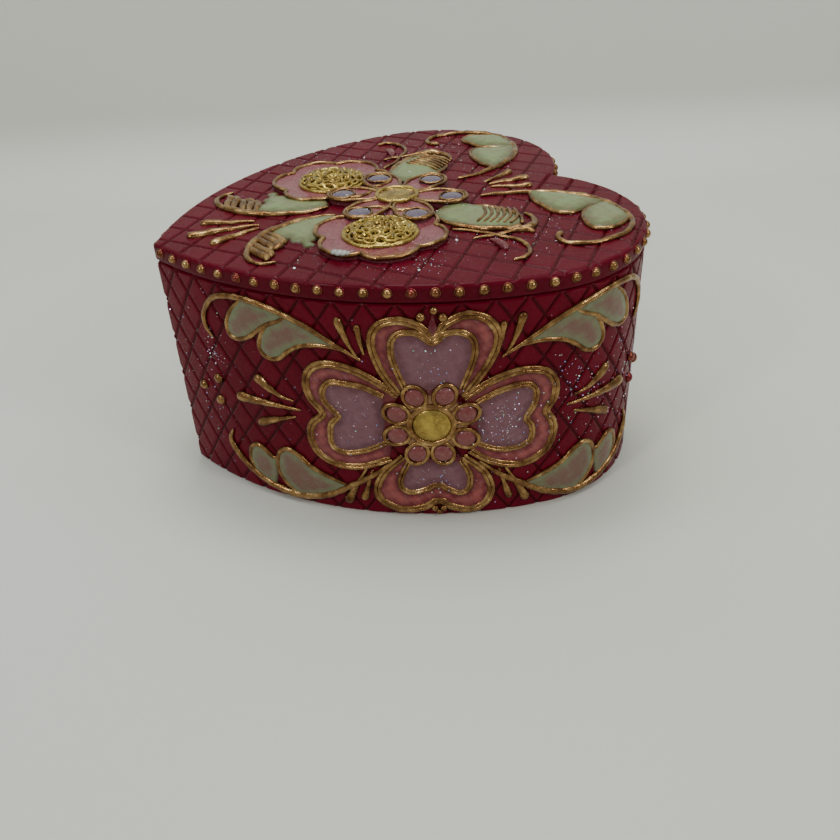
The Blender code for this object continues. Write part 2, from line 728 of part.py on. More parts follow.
def gear_loop(teeth, pitch_radius, addendum, dedendum, tooth_width, phase=0.0, tip_share=0.6):
    """Simple toothed outline about the origin; widths are along the pitch circle."""
    loop = []
    root = pitch_radius - dedendum
    tip = pitch_radius + addendum
    half = tooth_width / 2 / pitch_radius
    for index in range(teeth):
        middle = phase + 2 * math.pi * index / teeth
        for radius, swing in ((root, -1.15), (tip, -tip_share), (tip, tip_share), (root, 1.15)):
            angle = middle + swing * half
            loop.append((radius * math.cos(angle), radius * math.sin(angle)))
    return loop


def along_x(loop, low, high, y, z):
    """Prism along X whose loop is given as (towards +Y, towards +Z)."""
    mesh = prism([loop], low, high)
    turn = Matrix(((0, 0, 1, 0), (1, 0, 0, y), (0, 1, 0, z), (0, 0, 0, 1)))
    mesh.transform(turn)
    return mesh


def bore_x(radius, low, high, y, z, sides=16):
    return rod(radius, low, high, (y, z), axis="X", sides=sides)


def make_cylinder():
    brass = material("cylinder_brass", (0.75, 0.56, 0.24), 0.25, 1.0)
    y, z = BARREL_Y, CYLINDER_Z
    origin = ((CYLINDER_LEFT + CYLINDER_RIGHT) / 2, y, z)
    drum = place("cylinder", bore_x(CYLINDER_RADIUS, CYLINDER_LEFT, CYLINDER_RIGHT, y, z, 40), brass, origin)
    combine(drum, bore_x(1.25, CYLINDER_LEFT - 1, CYLINDER_RIGHT + 1, y, z))
    pins = []
    pitch = (CYLINDER_RIGHT - CYLINDER_LEFT - 0.6) / NOTES
    for note in range(NOTES):
        x = CYLINDER_LEFT + 0.3 + pitch * (note + 0.5)
        for beat in range(3):
            angle = 2 * math.pi * ((note * 7 + beat * 11 + (note * beat) % 5) % 40 + 0.5) / 40
            pin = box((-0.17, -0.17, CYLINDER_RADIUS - 0.5), (0.17, 0.17, CYLINDER_RADIUS + PIN_HEIGHT))
            pin.transform(Matrix.Translation((x, y, z)) @ Matrix.Rotation(angle, 4, "X"))
            pins.append(pin)
    combine(drum, joined(pins), "UNION")
    steel = material("cylinder_arbor_steel", STEEL, 0.3, 1.0)
    place("cylinder_arbor", bore_x(0.9, -22.7, 6.7, y, z, 20), steel, origin)
    pinion_brass = material("pinion_brass", BRASS, 0.3, 1.0)
    loop = gear_loop(PINION_TEETH, PINION_RADIUS, 0.55, 0.85, 0.62, math.radians(-90 + 180 / PINION_TEETH))
    pinion = place("cylinder_pinion", along_x(loop, 4.5, 6.3, y, z), pinion_brass, (5.4, y, z))
    combine(pinion, bore_x(1.2, 4, 7, y, z))
    wheel_brass = material("wheel_brass", BRASS, 0.3, 1.0)
    radius = WHEEL_TEETH * GEAR_MODULE / 2
    loop = gear_loop(WHEEL_TEETH, radius, 0.22, 0.4, 0.36, MESH_ANGLE)
    wheel = place("cylinder_wheel", along_x(loop, WHEEL_X - 0.5, WHEEL_X + 0.5, y, z), wheel_brass, origin)
    combine(wheel, bore_x(1.2, WHEEL_X - 2, WHEEL_X + 2, y, z))
    return drum


def make_right_bracket():
    brass = material("bracket_brass", BRASS, 0.35, 1.0)
    y = BARREL_Y
    low = BED_HIGH + GAP
    outline = [(y - 3.6, low), (y + 3.6, low), (y + 2.4, CYLINDER_Z + 1.2), (y + 1.2, CYLINDER_Z + 2.4),
               (y - 1.2, CYLINDER_Z + 2.4), (y - 2.4, CYLINDER_Z + 1.2)]
    bracket = place("cylinder_bracket", along_x(outline, 0.6, 2.2, 0, 0), brass)
    combine(bracket, box((-6, y - 3.6, low), (1.5, y + 3.6, low + 1.2)), "UNION")
    combine(bracket, bore_x(1.2, 0, 3, y, CYLINDER_Z))
    combine(bracket, rod(1.0, low - 1, low + 2, FOOT_SCREWS[0], sides=16))
    steel = material("bracket_screw_steel", STEEL, 0.35, 1.0)
    small_screw("bracket_screw", steel, FOOT_SCREWS[0], BED_LOW + 0.2, low + 1.2 + GAP)
    return bracket


def make_governor():
    brass = material("governor_frame_brass", (0.68, 0.5, 0.22), 0.35, 1.0)
    low = BED_HIGH + GAP
    base = box((-27.6, 8.6, low), (-21.7, 27.0, low + 1.3))
    frame = place("governor_frame", base, brass)
    inner = [(8.6, low), (19.2, low), (19.2, 23.2), (18.4, 29.6), (10.6, 29.6), (8.6, 26.5)]
    combine(frame, along_x(inner, -22.9, -21.7, 0, 0), "UNION")
    outer = [(14.4, low), (21.4, low), (20.2, 23.6), (15.8, 23.6)]
    combine(frame, along_x(outer, -27.6, -26.4, 0, 0), "UNION")
    combine(frame, box((-22.4, 23.8, low), (-15.0, 27.6, low + 1.3)), "UNION")
    combine(frame, bore_x(1.2, -24, -21, BARREL_Y, CYLINDER_Z))
    combine(frame, bore_x(0.9, -29, -21, GOVERNOR_Y, GOVERNOR_Z))
    holes = [rod(1.0, low - 1, low + 2, c, sides=12) for c in FOOT_SCREWS[1:]]
    holes.append(rod(0.85, low - 1, low + 2, (GOVERNOR_X, WORM_Y), sides=16))
    combine(frame, joined(holes))
    cap_brass = material("cap_brass", BRASS, 0.3, 1.0)
    cap = place("fly_bridge", box((-26.0, 11.2, 29.9), (-22.0, WORM_Y + 2, 31.0)), cap_brass)
    combine(cap, joined([rod(0.75, 29, 30.7, (GOVERNOR_X, WORM_Y), sides=16)]))
    steel = material("governor_screw_steel", STEEL, 0.35, 1.0)
    for index, centre in enumerate(FOOT_SCREWS[1:]):
        small_screw(f"governor_screw_{index + 1}", steel, centre, BED_LOW + 0.2, low + 1.3 + GAP)
    return frame


def make_governor_wheels():
    steel = material("governor_arbor_steel", STEEL, 0.3, 1.0)
    y, z = GOVERNOR_Y, GOVERNOR_Z
    origin = (GOVERNOR_X, y, z)
    place("governor_arbor", bore_x(0.6, -27.3, -19.7, y, z, 16), steel, origin)
    pinion_steel = material("governor_pinion_steel", STEEL, 0.35, 1.0)
    radius = SMALL_TEETH * GEAR_MODULE / 2
    phase = MESH_ANGLE + math.pi + math.pi / SMALL_TEETH
    loop = gear_loop(SMALL_TEETH, radius, 0.2, 0.4, 0.36, phase)
    pinion = place("governor_pinion", along_x(loop, WHEEL_X - 0.6, WHEEL_X + 0.6, y, z), pinion_steel, origin)
    combine(pinion, bore_x(0.75, WHEEL_X - 2, WHEEL_X + 2, y, z))
    brass = material("governor_wheel_brass", BRASS, 0.3, 1.0)
    radius = SLOW_TEETH * SLOW_MODULE / 2
    loop = gear_loop(SLOW_TEETH, radius, 0.3, 0.5, 0.4, 0.0)
    wheel = place("governor_wheel", along_x(loop, GOVERNOR_X - 0.35, GOVERNOR_X + 0.35, y, z), brass, origin)
    combine(wheel, bore_x(0.9, GOVERNOR_X - 2, GOVERNOR_X + 2, y, z))
    return wheel


def worm_thread():
    """Helical ridges round the worm, one for each start."""
    lead = WORM_STARTS * math.pi * SLOW_MODULE
    ridge = [(0.6, -0.22), (WORM_RADIUS + 0.18, -0.1), (WORM_RADIUS + 0.18, 0.1), (0.6, 0.22)]
    ridges = []
    for start in range(WORM_STARTS):
        thread = revolve(ridge, steps=9, rise=lead, turns=2)
        turn = Matrix.Rotation(2 * math.pi * start / WORM_STARTS, 4, "Z")
        spot = Matrix.Translation((GOVERNOR_X, WORM_Y, GOVERNOR_Z - lead))
        thread.transform(spot @ turn)
        ridges.append(thread)
    return joined(ridges)


def make_worm():
    steel = material("worm_steel", STEEL, 0.3, 1.0)
    centre = (GOVERNOR_X, WORM_Y)
    profile = [(0, 30.5), (0.45, 30.5), (0.45, 29.3), (0.8, 29.3), (0.8, 17.6), (0.55, 17.6),
               (0.55, 12.6), (0, 12.6)]
    worm = place("worm", revolve(profile, centre, 16), steel, (*centre, 0))
    combine(worm, worm_thread(), "UNION")
    light = material("fly_aluminium", (0.7, 0.7, 0.72), 0.4, 1.0)
    x, y = centre
    fly = place("fly", rod(1.6, 25.0, 26.0, centre, sides=20), light, (*centre, 0))
    combine(fly, box((x - 3.5, y - 0.25, 24.9), (x + 3.5, y + 0.25, 28.6)), "UNION")
    combine(fly, rod(1.05, 24, 30, centre, sides=16))
    return fly


make_body()
make_lid()
make_lining()
make_base()
make_key()
make_arbor()
make_bedplate()
make_barrel()
make_mainspring()
make_cylinder()
make_comb()
make_right_bracket()
make_governor()
make_governor_wheels()
make_worm()
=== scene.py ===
"""Looks of the heart-shaped wind-up music box. Lengths in the shape code are millimetres."""

import json
import math
import bpy
import numpy as np
from mathutils import Matrix, Vector


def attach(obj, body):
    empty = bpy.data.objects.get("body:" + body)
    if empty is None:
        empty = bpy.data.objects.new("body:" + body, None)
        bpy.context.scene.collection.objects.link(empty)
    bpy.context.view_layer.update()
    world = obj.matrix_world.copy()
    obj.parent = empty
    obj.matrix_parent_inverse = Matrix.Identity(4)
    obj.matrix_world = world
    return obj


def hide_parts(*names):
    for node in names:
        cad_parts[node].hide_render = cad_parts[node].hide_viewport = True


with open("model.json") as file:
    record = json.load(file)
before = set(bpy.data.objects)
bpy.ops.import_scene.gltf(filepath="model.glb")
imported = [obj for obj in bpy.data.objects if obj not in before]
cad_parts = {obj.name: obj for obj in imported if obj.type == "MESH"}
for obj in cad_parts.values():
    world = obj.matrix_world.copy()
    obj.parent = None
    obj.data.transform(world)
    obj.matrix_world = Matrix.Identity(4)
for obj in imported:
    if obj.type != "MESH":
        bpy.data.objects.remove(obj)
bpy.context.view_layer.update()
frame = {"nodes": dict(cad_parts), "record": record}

MM = 0.001
RNG = np.random.default_rng(7)

# ---------------------------------------------------------------- heart outline

HALF_WIDTH = 50.0
LOBE_RADIUS = 29.88
TIP_DEPTH = 71.46
SIDE_RADIUS = 82.08
CENTRE_Y = 20.29
LOBE = np.array([HALF_WIDTH - LOBE_RADIUS, 0.0])
WALL = 5.0
BOX_TOP = 51.2
LID_BOTTOM = 51.5
LID_TOP = 55.2


def side_arc():
    """Centre of the long side arc, and the angle at which it meets the lobe."""
    tip = np.array([0.0, -TIP_DEPTH])
    span = np.linalg.norm(LOBE - tip)
    near = SIDE_RADIUS - LOBE_RADIUS
    along = (span**2 + SIDE_RADIUS**2 - near**2) / (2 * span)
    across = math.sqrt(SIDE_RADIUS**2 - along**2)
    chord = (LOBE - tip) / span
    centre = tip + chord * along - np.array([chord[1], -chord[0]]) * across
    out = (LOBE - centre) / np.linalg.norm(LOBE - centre)
    return centre, math.atan2(out[1], out[0])


ARC, MEET = side_arc()
ARC_START = -math.acos(-ARC[0] / SIDE_RADIUS)
CLEFT = math.acos(-LOBE[0] / LOBE_RADIUS)
ARC_LENGTH = SIDE_RADIUS * (MEET - ARC_START)
HALF = ARC_LENGTH + LOBE_RADIUS * (CLEFT - MEET)


def heart_xy(s, offset=0.0):
    """Points of the outline at signed distances s from the tip (+ is the right half), moved outward."""
    s, offset = np.broadcast_arrays(np.asarray(s, float), np.asarray(offset, float))
    side = np.where(s < 0, -1.0, 1.0)
    a = np.abs(s)
    arc_r = SIDE_RADIUS + offset
    lobe_r = LOBE_RADIUS + offset
    start = -np.arccos(np.clip(-ARC[0] / arc_r, -1, 1))
    end = np.arccos(np.clip(-LOBE[0] / lobe_r, -1, 1))
    t1 = np.clip(a / ARC_LENGTH, 0, 1)
    t2 = np.clip((a - ARC_LENGTH) / (HALF - ARC_LENGTH), 0, 1)
    angle1 = start + (MEET - start) * t1
    angle2 = MEET + (end - MEET) * t2
    on_arc = a < ARC_LENGTH
    x = np.where(on_arc, ARC[0] + arc_r * np.cos(angle1), LOBE[0] + lobe_r * np.cos(angle2))
    y = np.where(on_arc, ARC[1] + arc_r * np.sin(angle1), LOBE[1] + lobe_r * np.sin(angle2))
    return side * x, y + CENTRE_Y


def wall_frame(s):
    """Outward normal of the wall at signed distances s."""
    s = np.asarray(s, float)
    a = np.abs(s)
    on_arc = a < ARC_LENGTH
    angle = np.where(on_arc, ARC_START + a / SIDE_RADIUS, MEET + (a - ARC_LENGTH) / LOBE_RADIUS)
    side = np.where(s < 0, -1.0, 1.0)
    return side * np.cos(angle), np.sin(angle)


# ---------------------------------------------------------------- camera, light and stage

TURN, TILT, LEAN = -1.2332, 0.6002, -0.0499
LENS = 37.17
DISTANCE = 0.2324
SIDEWAYS, UPWARDS = 0.01297, 0.00821
forward = Vector((math.sin(TURN) * math.cos(TILT), math.cos(TURN) * math.cos(TILT), -math.sin(TILT)))
level = Vector((math.cos(TURN), -math.sin(TURN), 0))
upward = level.cross(forward)
right = math.cos(LEAN) * level + math.sin(LEAN) * upward
up = -math.sin(LEAN) * level + math.cos(LEAN) * upward
camera_data = bpy.data.cameras.new("camera")
camera_data.sensor_width = 36
camera_data.lens = LENS
camera_data.clip_start = 0.005
camera = bpy.data.objects.new("camera", camera_data)
bpy.context.scene.collection.objects.link(camera)
spot = -(SIDEWAYS * right + UPWARDS * up + DISTANCE * forward) + Vector((0, CENTRE_Y * MM, 0))
pose = Matrix((right, up, -forward)).transposed().to_4x4()
camera.matrix_world = Matrix.Translation(spot) @ pose
bpy.context.scene.camera = camera


def area_light(name, place, aim, size, power, colour=(1, 1, 1)):
    data = bpy.data.lights.new(name, "AREA")
    data.shape = "RECTANGLE"
    data.size, data.size_y = size
    data.energy = power
    data.color = colour
    light = bpy.data.objects.new(name, data)
    bpy.context.scene.collection.objects.link(light)
    light.location = place
    light.rotation_euler = (Vector(aim) - Vector(place)).to_track_quat("-Z", "Y").to_euler()


area_light("ceiling", (-0.11, 0.04, 0.55), (0.0, 0, 0.03), (0.14, 0.14), 0.80, (1.0, 0.985, 0.93))
area_light("left", (0.24, -0.47, 0.42), (0, 0, 0.02), (0.08, 0.08), 0.92, (1.0, 0.99, 0.96))
area_light("right", (0.42, 0.28, 0.40), (0, 0, 0.02), (0.12, 0.12), 1.00, (1.0, 0.99, 0.97))
area_light("back", (-0.02, 0.007, 0.45), (-0.20, 0.07, 0.06), (0.7, 0.12), 1.5, (0.82, 0.93, 1.0))
world = bpy.data.worlds.new("world")
world.use_nodes = True
sky = world.node_tree.nodes["Background"]
sky.inputs["Color"].default_value = (0.80, 0.81, 0.82, 1)
sky.inputs["Strength"].default_value = 0.60
bpy.context.scene.world = world


# ---------------------------------------------------------------- materials


class Nodes:
    """A small helper that builds one node material."""

    def __init__(self, name, colour=(0.5, 0.5, 0.5), roughness=0.5, metallic=0.0):
        self.made = bpy.data.materials.new(name)
        self.made.use_nodes = True
        self.tree = self.made.node_tree
        self.shader = self.tree.nodes["Principled BSDF"]
        self.set(self.shader, {"Base Color": (*colour, 1), "Roughness": roughness, "Metallic": metallic})
        self.coords = self.tree.nodes.new("ShaderNodeTexCoord").outputs["Object"]

    def set(self, node, values):
        for key, value in values.items():
            node.inputs[key].default_value = value

    def add(self, kind, inputs=None, **settings):
        node = self.tree.nodes.new(kind)
        for key, value in settings.items():
            setattr(node, key, value)
        for key, value in (inputs or {}).items():
            if isinstance(value, bpy.types.NodeSocket):
                self.tree.links.new(value, node.inputs[key])
            else:
                node.inputs[key].default_value = value
        return node

    def noise(self, scale, detail=3.0, rough=0.55, distortion=0.0):
        values = {"Vector": self.coords, "Scale": scale, "Detail": detail, "Roughness": rough}
        values["Distortion"] = distortion
        return self.add("ShaderNodeTexNoise", values).outputs["Fac"]

    def ramp(self, value, stops):
        node = self.add("ShaderNodeValToRGB", {"Fac": value})
        while len(node.color_ramp.elements) < len(stops):
            node.color_ramp.elements.new(0.5)
        for element, (place, colour) in zip(node.color_ramp.elements, stops):
            element.position = place
            element.color = (*colour, 1)
        return node.outputs["Color"]

    def span(self, value, low, high, to_low=0.0, to_high=1.0):
        values = {"Value": value, "From Min": low, "From Max": high, "To Min": to_low, "To Max": to_high}
        return self.add("ShaderNodeMapRange", values).outputs["Result"]

    def math(self, kind, a, b=0.0):
        return self.add("ShaderNodeMath", {0: a, 1: b}, operation=kind).outputs[0]

    def mix(self, fac, a, b, blend="MIX"):
        node = self.add("ShaderNodeMix", data_type="RGBA", blend_type=blend)
        for key, value in ((0, fac), (6, a), (7, b)):
            if isinstance(value, bpy.types.NodeSocket):
                self.tree.links.new(value, node.inputs[key])
            else:
                node.inputs[key].default_value = (*value, 1) if isinstance(value, tuple) else value
        return node.outputs[2]

    def attribute(self, name, part="Color"):
        return self.add("ShaderNodeAttribute", attribute_name=name).outputs[part]

    def link(self, value, key):
        self.tree.links.new(value, self.shader.inputs[key])

    def bump(self, height, strength=0.3, distance=0.0002):
        node = self.add("ShaderNodeBump", {"Height": height, "Strength": strength, "Distance": distance})
        self.link(node.outputs["Normal"], "Normal")


RESIN_TONES = ((0.25, (0.074, 0.0005, 0.0062)), (0.5, (0.098, 0.0012, 0.0090)),
               (0.75, (0.122, 0.0022, 0.0125)))
GILT_TONES = ((0.28, (0.075, 0.026, 0.009)), (0.46, (0.185, 0.092, 0.031)), (0.62, (0.36, 0.215, 0.082)),
              (0.8, (0.80, 0.58, 0.27)))


def scaled(colour, factor):
    return tuple(min(1.0, c * factor) for c in colour)


def resin_paint(name, depth):
    """Burgundy paint over cast resin, with enamel colours from the paint attribute. The depth scales the
    burgundy; below 1 it is painted shade.
    """
    m = Nodes(name, roughness=0.4)
    paint = m.attribute("paint")
    enamel = m.attribute("enamel", "Fac")
    groove_shade = m.attribute("groove_shade", "Fac")
    cloud = m.noise(70, 4, 0.6)
    fine = m.noise(900, 3, 0.6)
    base = m.ramp(cloud, [(place, scaled(tone, depth)) for place, tone in RESIN_TONES])
    base = m.mix(m.span(fine, 0.35, 0.75, 0.0, 0.35), base, (0.135 * depth, 0.006, 0.018))
    # The lattice grooves are painted a darker red: painted shade in the recesses.
    base = m.mix(groove_shade, base, (0.040, 0.0002, 0.0024))
    mottle = m.noise(260, 5, 0.65, 0.6)
    mottled = m.mix(m.span(mottle, 0.4, 0.72, 0.0, 0.4), paint, (0.15, 0.05, 0.045))
    pale = m.mix(m.span(fine, 0.55, 0.8, 0.0, 0.14), mottled, (0.4, 0.36, 0.38))
    m.link(m.mix(enamel, base, pale), "Base Color")
    m.link(m.span(fine, 0.3, 0.7, 0.24, 0.4), "Roughness")
    m.link(m.span(enamel, 0.0, 1.0, 0.06, 0.18), "Specular IOR Level")
    m.link(m.span(enamel, 0.0, 1.0, 0.03, 0.25), "Coat Weight")
    m.set(m.shader, {"Coat Roughness": 0.14})
    m.bump(m.math("ADD", m.math("MULTIPLY", fine, 0.5), m.noise(2600, 2)), 0.12, 0.0001)
    return m.made


def gilt_paint(name, bright=False):
    """Antique gold paint, darker and browner in patches; the bright kind is fresher and yellower."""
    m = Nodes(name, (0.6, 0.42, 0.13), 0.38, 0.9)
    patch = m.noise(320, 5, 0.65)
    fine = m.noise(1700, 3, 0.6)
    gold = m.ramp(patch, GILT_TONES)
    if bright:
        gold = m.mix(m.span(patch, 0.35, 0.6, 0.25, 0.85), gold, (0.46, 0.34, 0.07))
    else:
        stain = m.math("MULTIPLY", m.attribute("stain", "Fac"), m.span(patch, 0.3, 0.6))
        gold = m.mix(stain, gold, (0.16, 0.012, 0.02))
    m.link(gold, "Base Color")
    m.link(m.span(fine, 0.3, 0.75, 0.14, 0.34), "Roughness")
    m.bump(m.math("ADD", fine, patch), 0.35, 0.0002)
    return m.made


def enamel_paint(name, colour, second, roughness=0.28):
    """Thick glossy enamel with soft mottling."""
    m = Nodes(name, colour, roughness)
    cloud = m.noise(330, 5, 0.65, 0.8)
    fine = m.noise(1500, 3, 0.6)
    mixed = m.mix(m.span(cloud, 0.36, 0.68), colour, second)
    mixed = m.mix(m.span(fine, 0.55, 0.8, 0.0, 0.15), mixed, (0.5, 0.47, 0.48))
    m.link(mixed, "Base Color")
    m.link(m.span(fine, 0.3, 0.7, roughness - 0.06, roughness + 0.12), "Roughness")
    m.set(m.shader, {"Coat Weight": 0.45, "Coat Roughness": 0.07, "Specular IOR Level": 0.2})
    m.bump(m.math("ADD", cloud, fine), 0.2, 0.00015)
    return m.made


def glitter_paint():
    m = Nodes("glitter", (0.8, 0.8, 0.85), 0.18, 0.6)
    m.link(m.attribute("tint"), "Base Color")
    m.link(m.span(m.noise(4000, 2), 0.3, 0.7, 0.12, 0.3), "Roughness")
    return m.made


def metal(name, colour, roughness, brushed=0.0, tarnish=(0.25, 0.16, 0.07), amount=0.25):
    """Machined metal with fine scratches and slight tarnish."""
    m = Nodes(name, colour, roughness, 1.0)
    cloud = m.noise(120, 5, 0.65)
    fine = m.noise(1400, 3, 0.6)
    stretch = m.add("ShaderNodeMapping", {"Vector": m.coords, "Scale": (1.0, 1.0 + 30 * brushed, 1.0)})
    values = {"Vector": stretch.outputs[0], "Scale": 700.0, "Detail": 2.0}
    lines = m.add("ShaderNodeTexNoise", values).outputs["Fac"]
    worn = m.mix(m.span(cloud, 0.45, 0.8, 0.0, amount), colour, tarnish)
    m.link(m.mix(m.span(lines, 0.4, 0.7, 0.0, 0.18), worn, scaled(colour, 1.25)), "Base Color")
    m.link(m.span(fine, 0.3, 0.7, roughness - 0.06, roughness + 0.14), "Roughness")
    m.bump(m.math("ADD", lines, m.math("MULTIPLY", fine, 0.5)), 0.12, 0.00005)
    return m.made


def velvet(colour=(0.20, 0.008, 0.022)):
    m = Nodes("velvet", colour, 0.9)
    pile = m.noise(2600, 4, 0.7)
    nap = m.noise(45, 3, 0.5)
    mixed = m.mix(m.span(nap, 0.35, 0.7), scaled(colour, 0.65), scaled(colour, 1.5))
    mixed = m.mix(m.span(pile, 0.4, 0.7, 0.0, 0.5), mixed, scaled(colour, 0.5))
    m.link(mixed, "Base Color")
    m.set(m.shader, {"Sheen Weight": 0.7, "Sheen Roughness": 0.35, "Sheen Tint": (0.9, 0.35, 0.4, 1)})
    m.bump(m.math("ADD", pile, nap), 0.5, 0.0003)
    return m.made


def stage_material():
    m = Nodes("table_white", (0.72, 0.72, 0.72), 0.55)
    cloud = m.noise(3.0, 3, 0.5)
    fine = m.noise(60, 5, 0.6)
    tone = m.ramp(cloud, [(0.3, (0.545, 0.538, 0.468)), (0.7, (0.572, 0.571, 0.515))])
    speck = m.span(m.noise(22, 2, 0.5), 0.78, 0.83, 0.0, 0.35)
    m.link(m.mix(speck, tone, (0.5, 0.49, 0.48)), "Base Color")
    m.bump(fine, 0.03, 0.0005)
    return m.made


# ---------------------------------------------------------------- mesh helpers


def mesh_object(name, points, faces, material, body, sharp=None):
    """A smooth mesh piece in millimetres that rides on a CAD body."""
    mesh = bpy.data.meshes.new(name)
    mesh.from_pydata([tuple(p) for p in np.asarray(points) * MM], [], faces)
    mesh.validate()
    mesh.shade_smooth()
    if sharp is not None:
        mesh.set_sharp_from_angle(angle=math.radians(sharp))
    mesh.materials.append(material)
    made = bpy.data.objects.new(name, mesh)
    bpy.context.scene.collection.objects.link(made)
    if body:
        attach(made, body)
    return made


def put_attribute(obj, name, values):
    """A point attribute: one number, or one colour, for each vertex."""
    values = np.asarray(values, np.float32)
    if values.ndim == 1:
        obj.data.attributes.new(name, "FLOAT", "POINT").data.foreach_set("value", values)
    else:
        filled = np.ones((len(values), 4), np.float32)
        filled[:, :3] = values
        obj.data.attributes.new(name, "FLOAT_COLOR", "POINT").data.foreach_set("color", filled.ravel())


def smooth_path(points, closed=False, step=0.5):
    """Catmull-Rom curve through the points, resampled at even steps. Extra columns are carried along."""
    p = np.asarray(points, float)
    if closed:
        p = np.vstack([p[-1], p, p[0], p[1]])
    else:
        p = np.vstack([2 * p[0] - p[1], p, 2 * p[-1] - p[-2]])
    out = []
    for a, b, c, d in zip(p, p[1:], p[2:], p[3:]):
        t = np.linspace(0, 1, 16, endpoint=False)[:, None]
        square, cube = 2 * a - 5 * b + 4 * c - d, 3 * b - a - 3 * c + d
        out.append(0.5 * (2 * b + (c - a) * t + square * t**2 + cube * t**3))
    out = np.vstack(out) if closed else np.vstack([*out, p[-2][None]])
    if closed:
        out = np.vstack([out, out[:1]])
    gaps = np.linalg.norm(np.diff(out[:, :2], axis=0), axis=1)
    along = np.concatenate([[0], np.cumsum(gaps)])
    count = max(4, int(round(along[-1] / step)) + 1)
    even = np.linspace(0, along[-1], count)
    if closed:
        even = even[:-1]
    return np.stack([np.interp(even, along, out[:, k]) for k in range(out.shape[1])], axis=1)


class Solids:
    """Collects many small closed shapes into one piece."""

    def __init__(self):
        self.points, self.faces, self.tags = [], [], []
        self.count = 0

    def put(self, points, faces, tag=0.0):
        self.points.append(np.asarray(points, float))
        self.faces.extend(tuple(int(i) + self.count for i in f) for f in faces)
        self.tags.extend([tag] * len(points))
        self.count += len(points)

    def finish(self, name, material, body, attribute=None, sharp=None, slot="painted_resin"):
        made = mesh_object(name, np.vstack(self.points), self.faces, material, body, sharp=sharp)
        if attribute:
            put_attribute(made, attribute, self.tags)


def tube_rings(centres, normals, sides, radii, flat, closed, sink):
    """Rings of points round a path, wider along the surface than proud of it."""
    if closed:
        along = np.roll(centres, -1, 0) - np.roll(centres, 1, 0)
    else:
        along = np.gradient(centres, axis=0)
    along /= np.linalg.norm(along, axis=1)[:, None] + 1e-12
    across = np.cross(along, normals)
    across /= np.linalg.norm(across, axis=1)[:, None] + 1e-12
    angles = np.linspace(0, 2 * math.pi, sides, endpoint=False)
    ring = across[:, None] * np.cos(angles)[None, :, None] * radii[:, None, None]
    rise = np.sin(angles)[None, :, None] * radii[:, None, None] * flat
    return centres[:, None] + ring + normals[:, None] * (rise - sink * radii[:, None, None])


def round_ends(centres, normals, radii):
    """Continue a path a little past both ends, narrowing, so that the tube ends in a dome."""
    for end, inner in ((0, 1), (-1, -2)):
        along = centres[end] - centres[inner]
        along /= np.linalg.norm(along) + 1e-12
        more = [centres[end] + along * radii[end] * reach for reach in (0.5, 0.85, 1.0)]
        thin = [radii[end] * share for share in (0.87, 0.55, 0.12)]
        copies = [normals[end]] * 3
        joined = []
        for extra, kept in ((more, centres), (thin, radii), (copies, normals)):
            joined.append(np.concatenate([extra[::-1], kept] if end == 0 else [kept, extra]))
        centres, radii, normals = joined
    return centres, normals, radii


def add_tube(solids, centres, normals, radii, sides=10, flat=0.8, closed=False, sink=0.1):
    """A tube along a path. An open one gets domed ends."""
    centres = np.asarray(centres, float)
    normals = np.broadcast_to(normals, centres.shape)
    if not closed:
        centres, normals, radii = round_ends(centres, normals, radii)
    rings = tube_rings(centres, normals, sides, np.asarray(radii, float), flat, closed, sink)
    count = len(rings)
    points = rings.reshape(-1, 3)
    faces = []
    for i in range(count if closed else count - 1):
        j = (i + 1) % count
        for k in range(sides):
            n = (k + 1) % sides
            faces.append((i * sides + k, i * sides + n, j * sides + n, j * sides + k))
    if not closed:
        faces.append(tuple(range(sides))[::-1])
        faces.append(tuple((count - 1) * sides + k for k in range(sides)))
    solids.put(points, faces)


def add_ball(solids, centre, radius, normal, squash, sides=14, rings=8, tag=0.0):
    """A ball, flattened along its normal by the squash."""
    n = Vector(normal).normalized()
    turn = n.to_track_quat("Z", "Y").to_matrix()
    points = [Vector((0, 0, radius * squash))]
    for i in range(1, rings):
        polar = math.pi * i / rings
        for k in range(sides):
            a = 2 * math.pi * k / sides
            ring = radius * math.sin(polar)
            height = radius * squash * math.cos(polar)
            points.append(Vector((ring * math.cos(a), ring * math.sin(a), height)))
    points.append(Vector((0, 0, -radius * squash)))
    faces = []
    for k in range(sides):
        n2 = (k + 1) % sides
        faces.append((0, 1 + k, 1 + n2))
        for i in range(rings - 2):
            a, b = 1 + i * sides, 1 + (i + 1) * sides
            faces.append((a + k, b + k, b + n2, a + n2))
        last = 1 + (rings - 2) * sides
        faces.append((last + k, len(points) - 1, last + n2))
    solids.put([Vector(centre) + turn @ p for p in points], faces, tag)


# ---------------------------------------------------------------- flat shape distances


def polygon_fields(px, pz, loop):
    """(inside, distance to the outline) for points against a closed loop."""
    loop = np.asarray(loop, float)
    inside = np.zeros(px.shape, bool)
    nearest = np.full(px.shape, 1e9)
    for a, b in zip(loop, np.roll(loop, -1, axis=0)):
        cross = (a[1] > pz) != (b[1] > pz)
        with np.errstate(divide="ignore", invalid="ignore"):
            hit = (b[0] - a[0]) * (pz - a[1]) / (b[1] - a[1]) + a[0]
        inside ^= cross & (px < hit)
        d = b - a
        t = np.clip(((px - a[0]) * d[0] + (pz - a[1]) * d[1]) / (d @ d + 1e-12), 0, 1)
        nearest = np.minimum(nearest, np.hypot(px - a[0] - t * d[0], pz - a[1] - t * d[1]))
    return inside, nearest


RIM_WIDTH = 2.5


def new_fields(shape):
    """The values kept at every point of a painted surface."""
    fields = {name: np.zeros(shape) for name in ("height", "groove_shade", "enamel", "rim")}
    fields["paint"] = np.zeros((*shape, 3))
    fields["core"] = np.zeros((*shape, 3))
    return fields


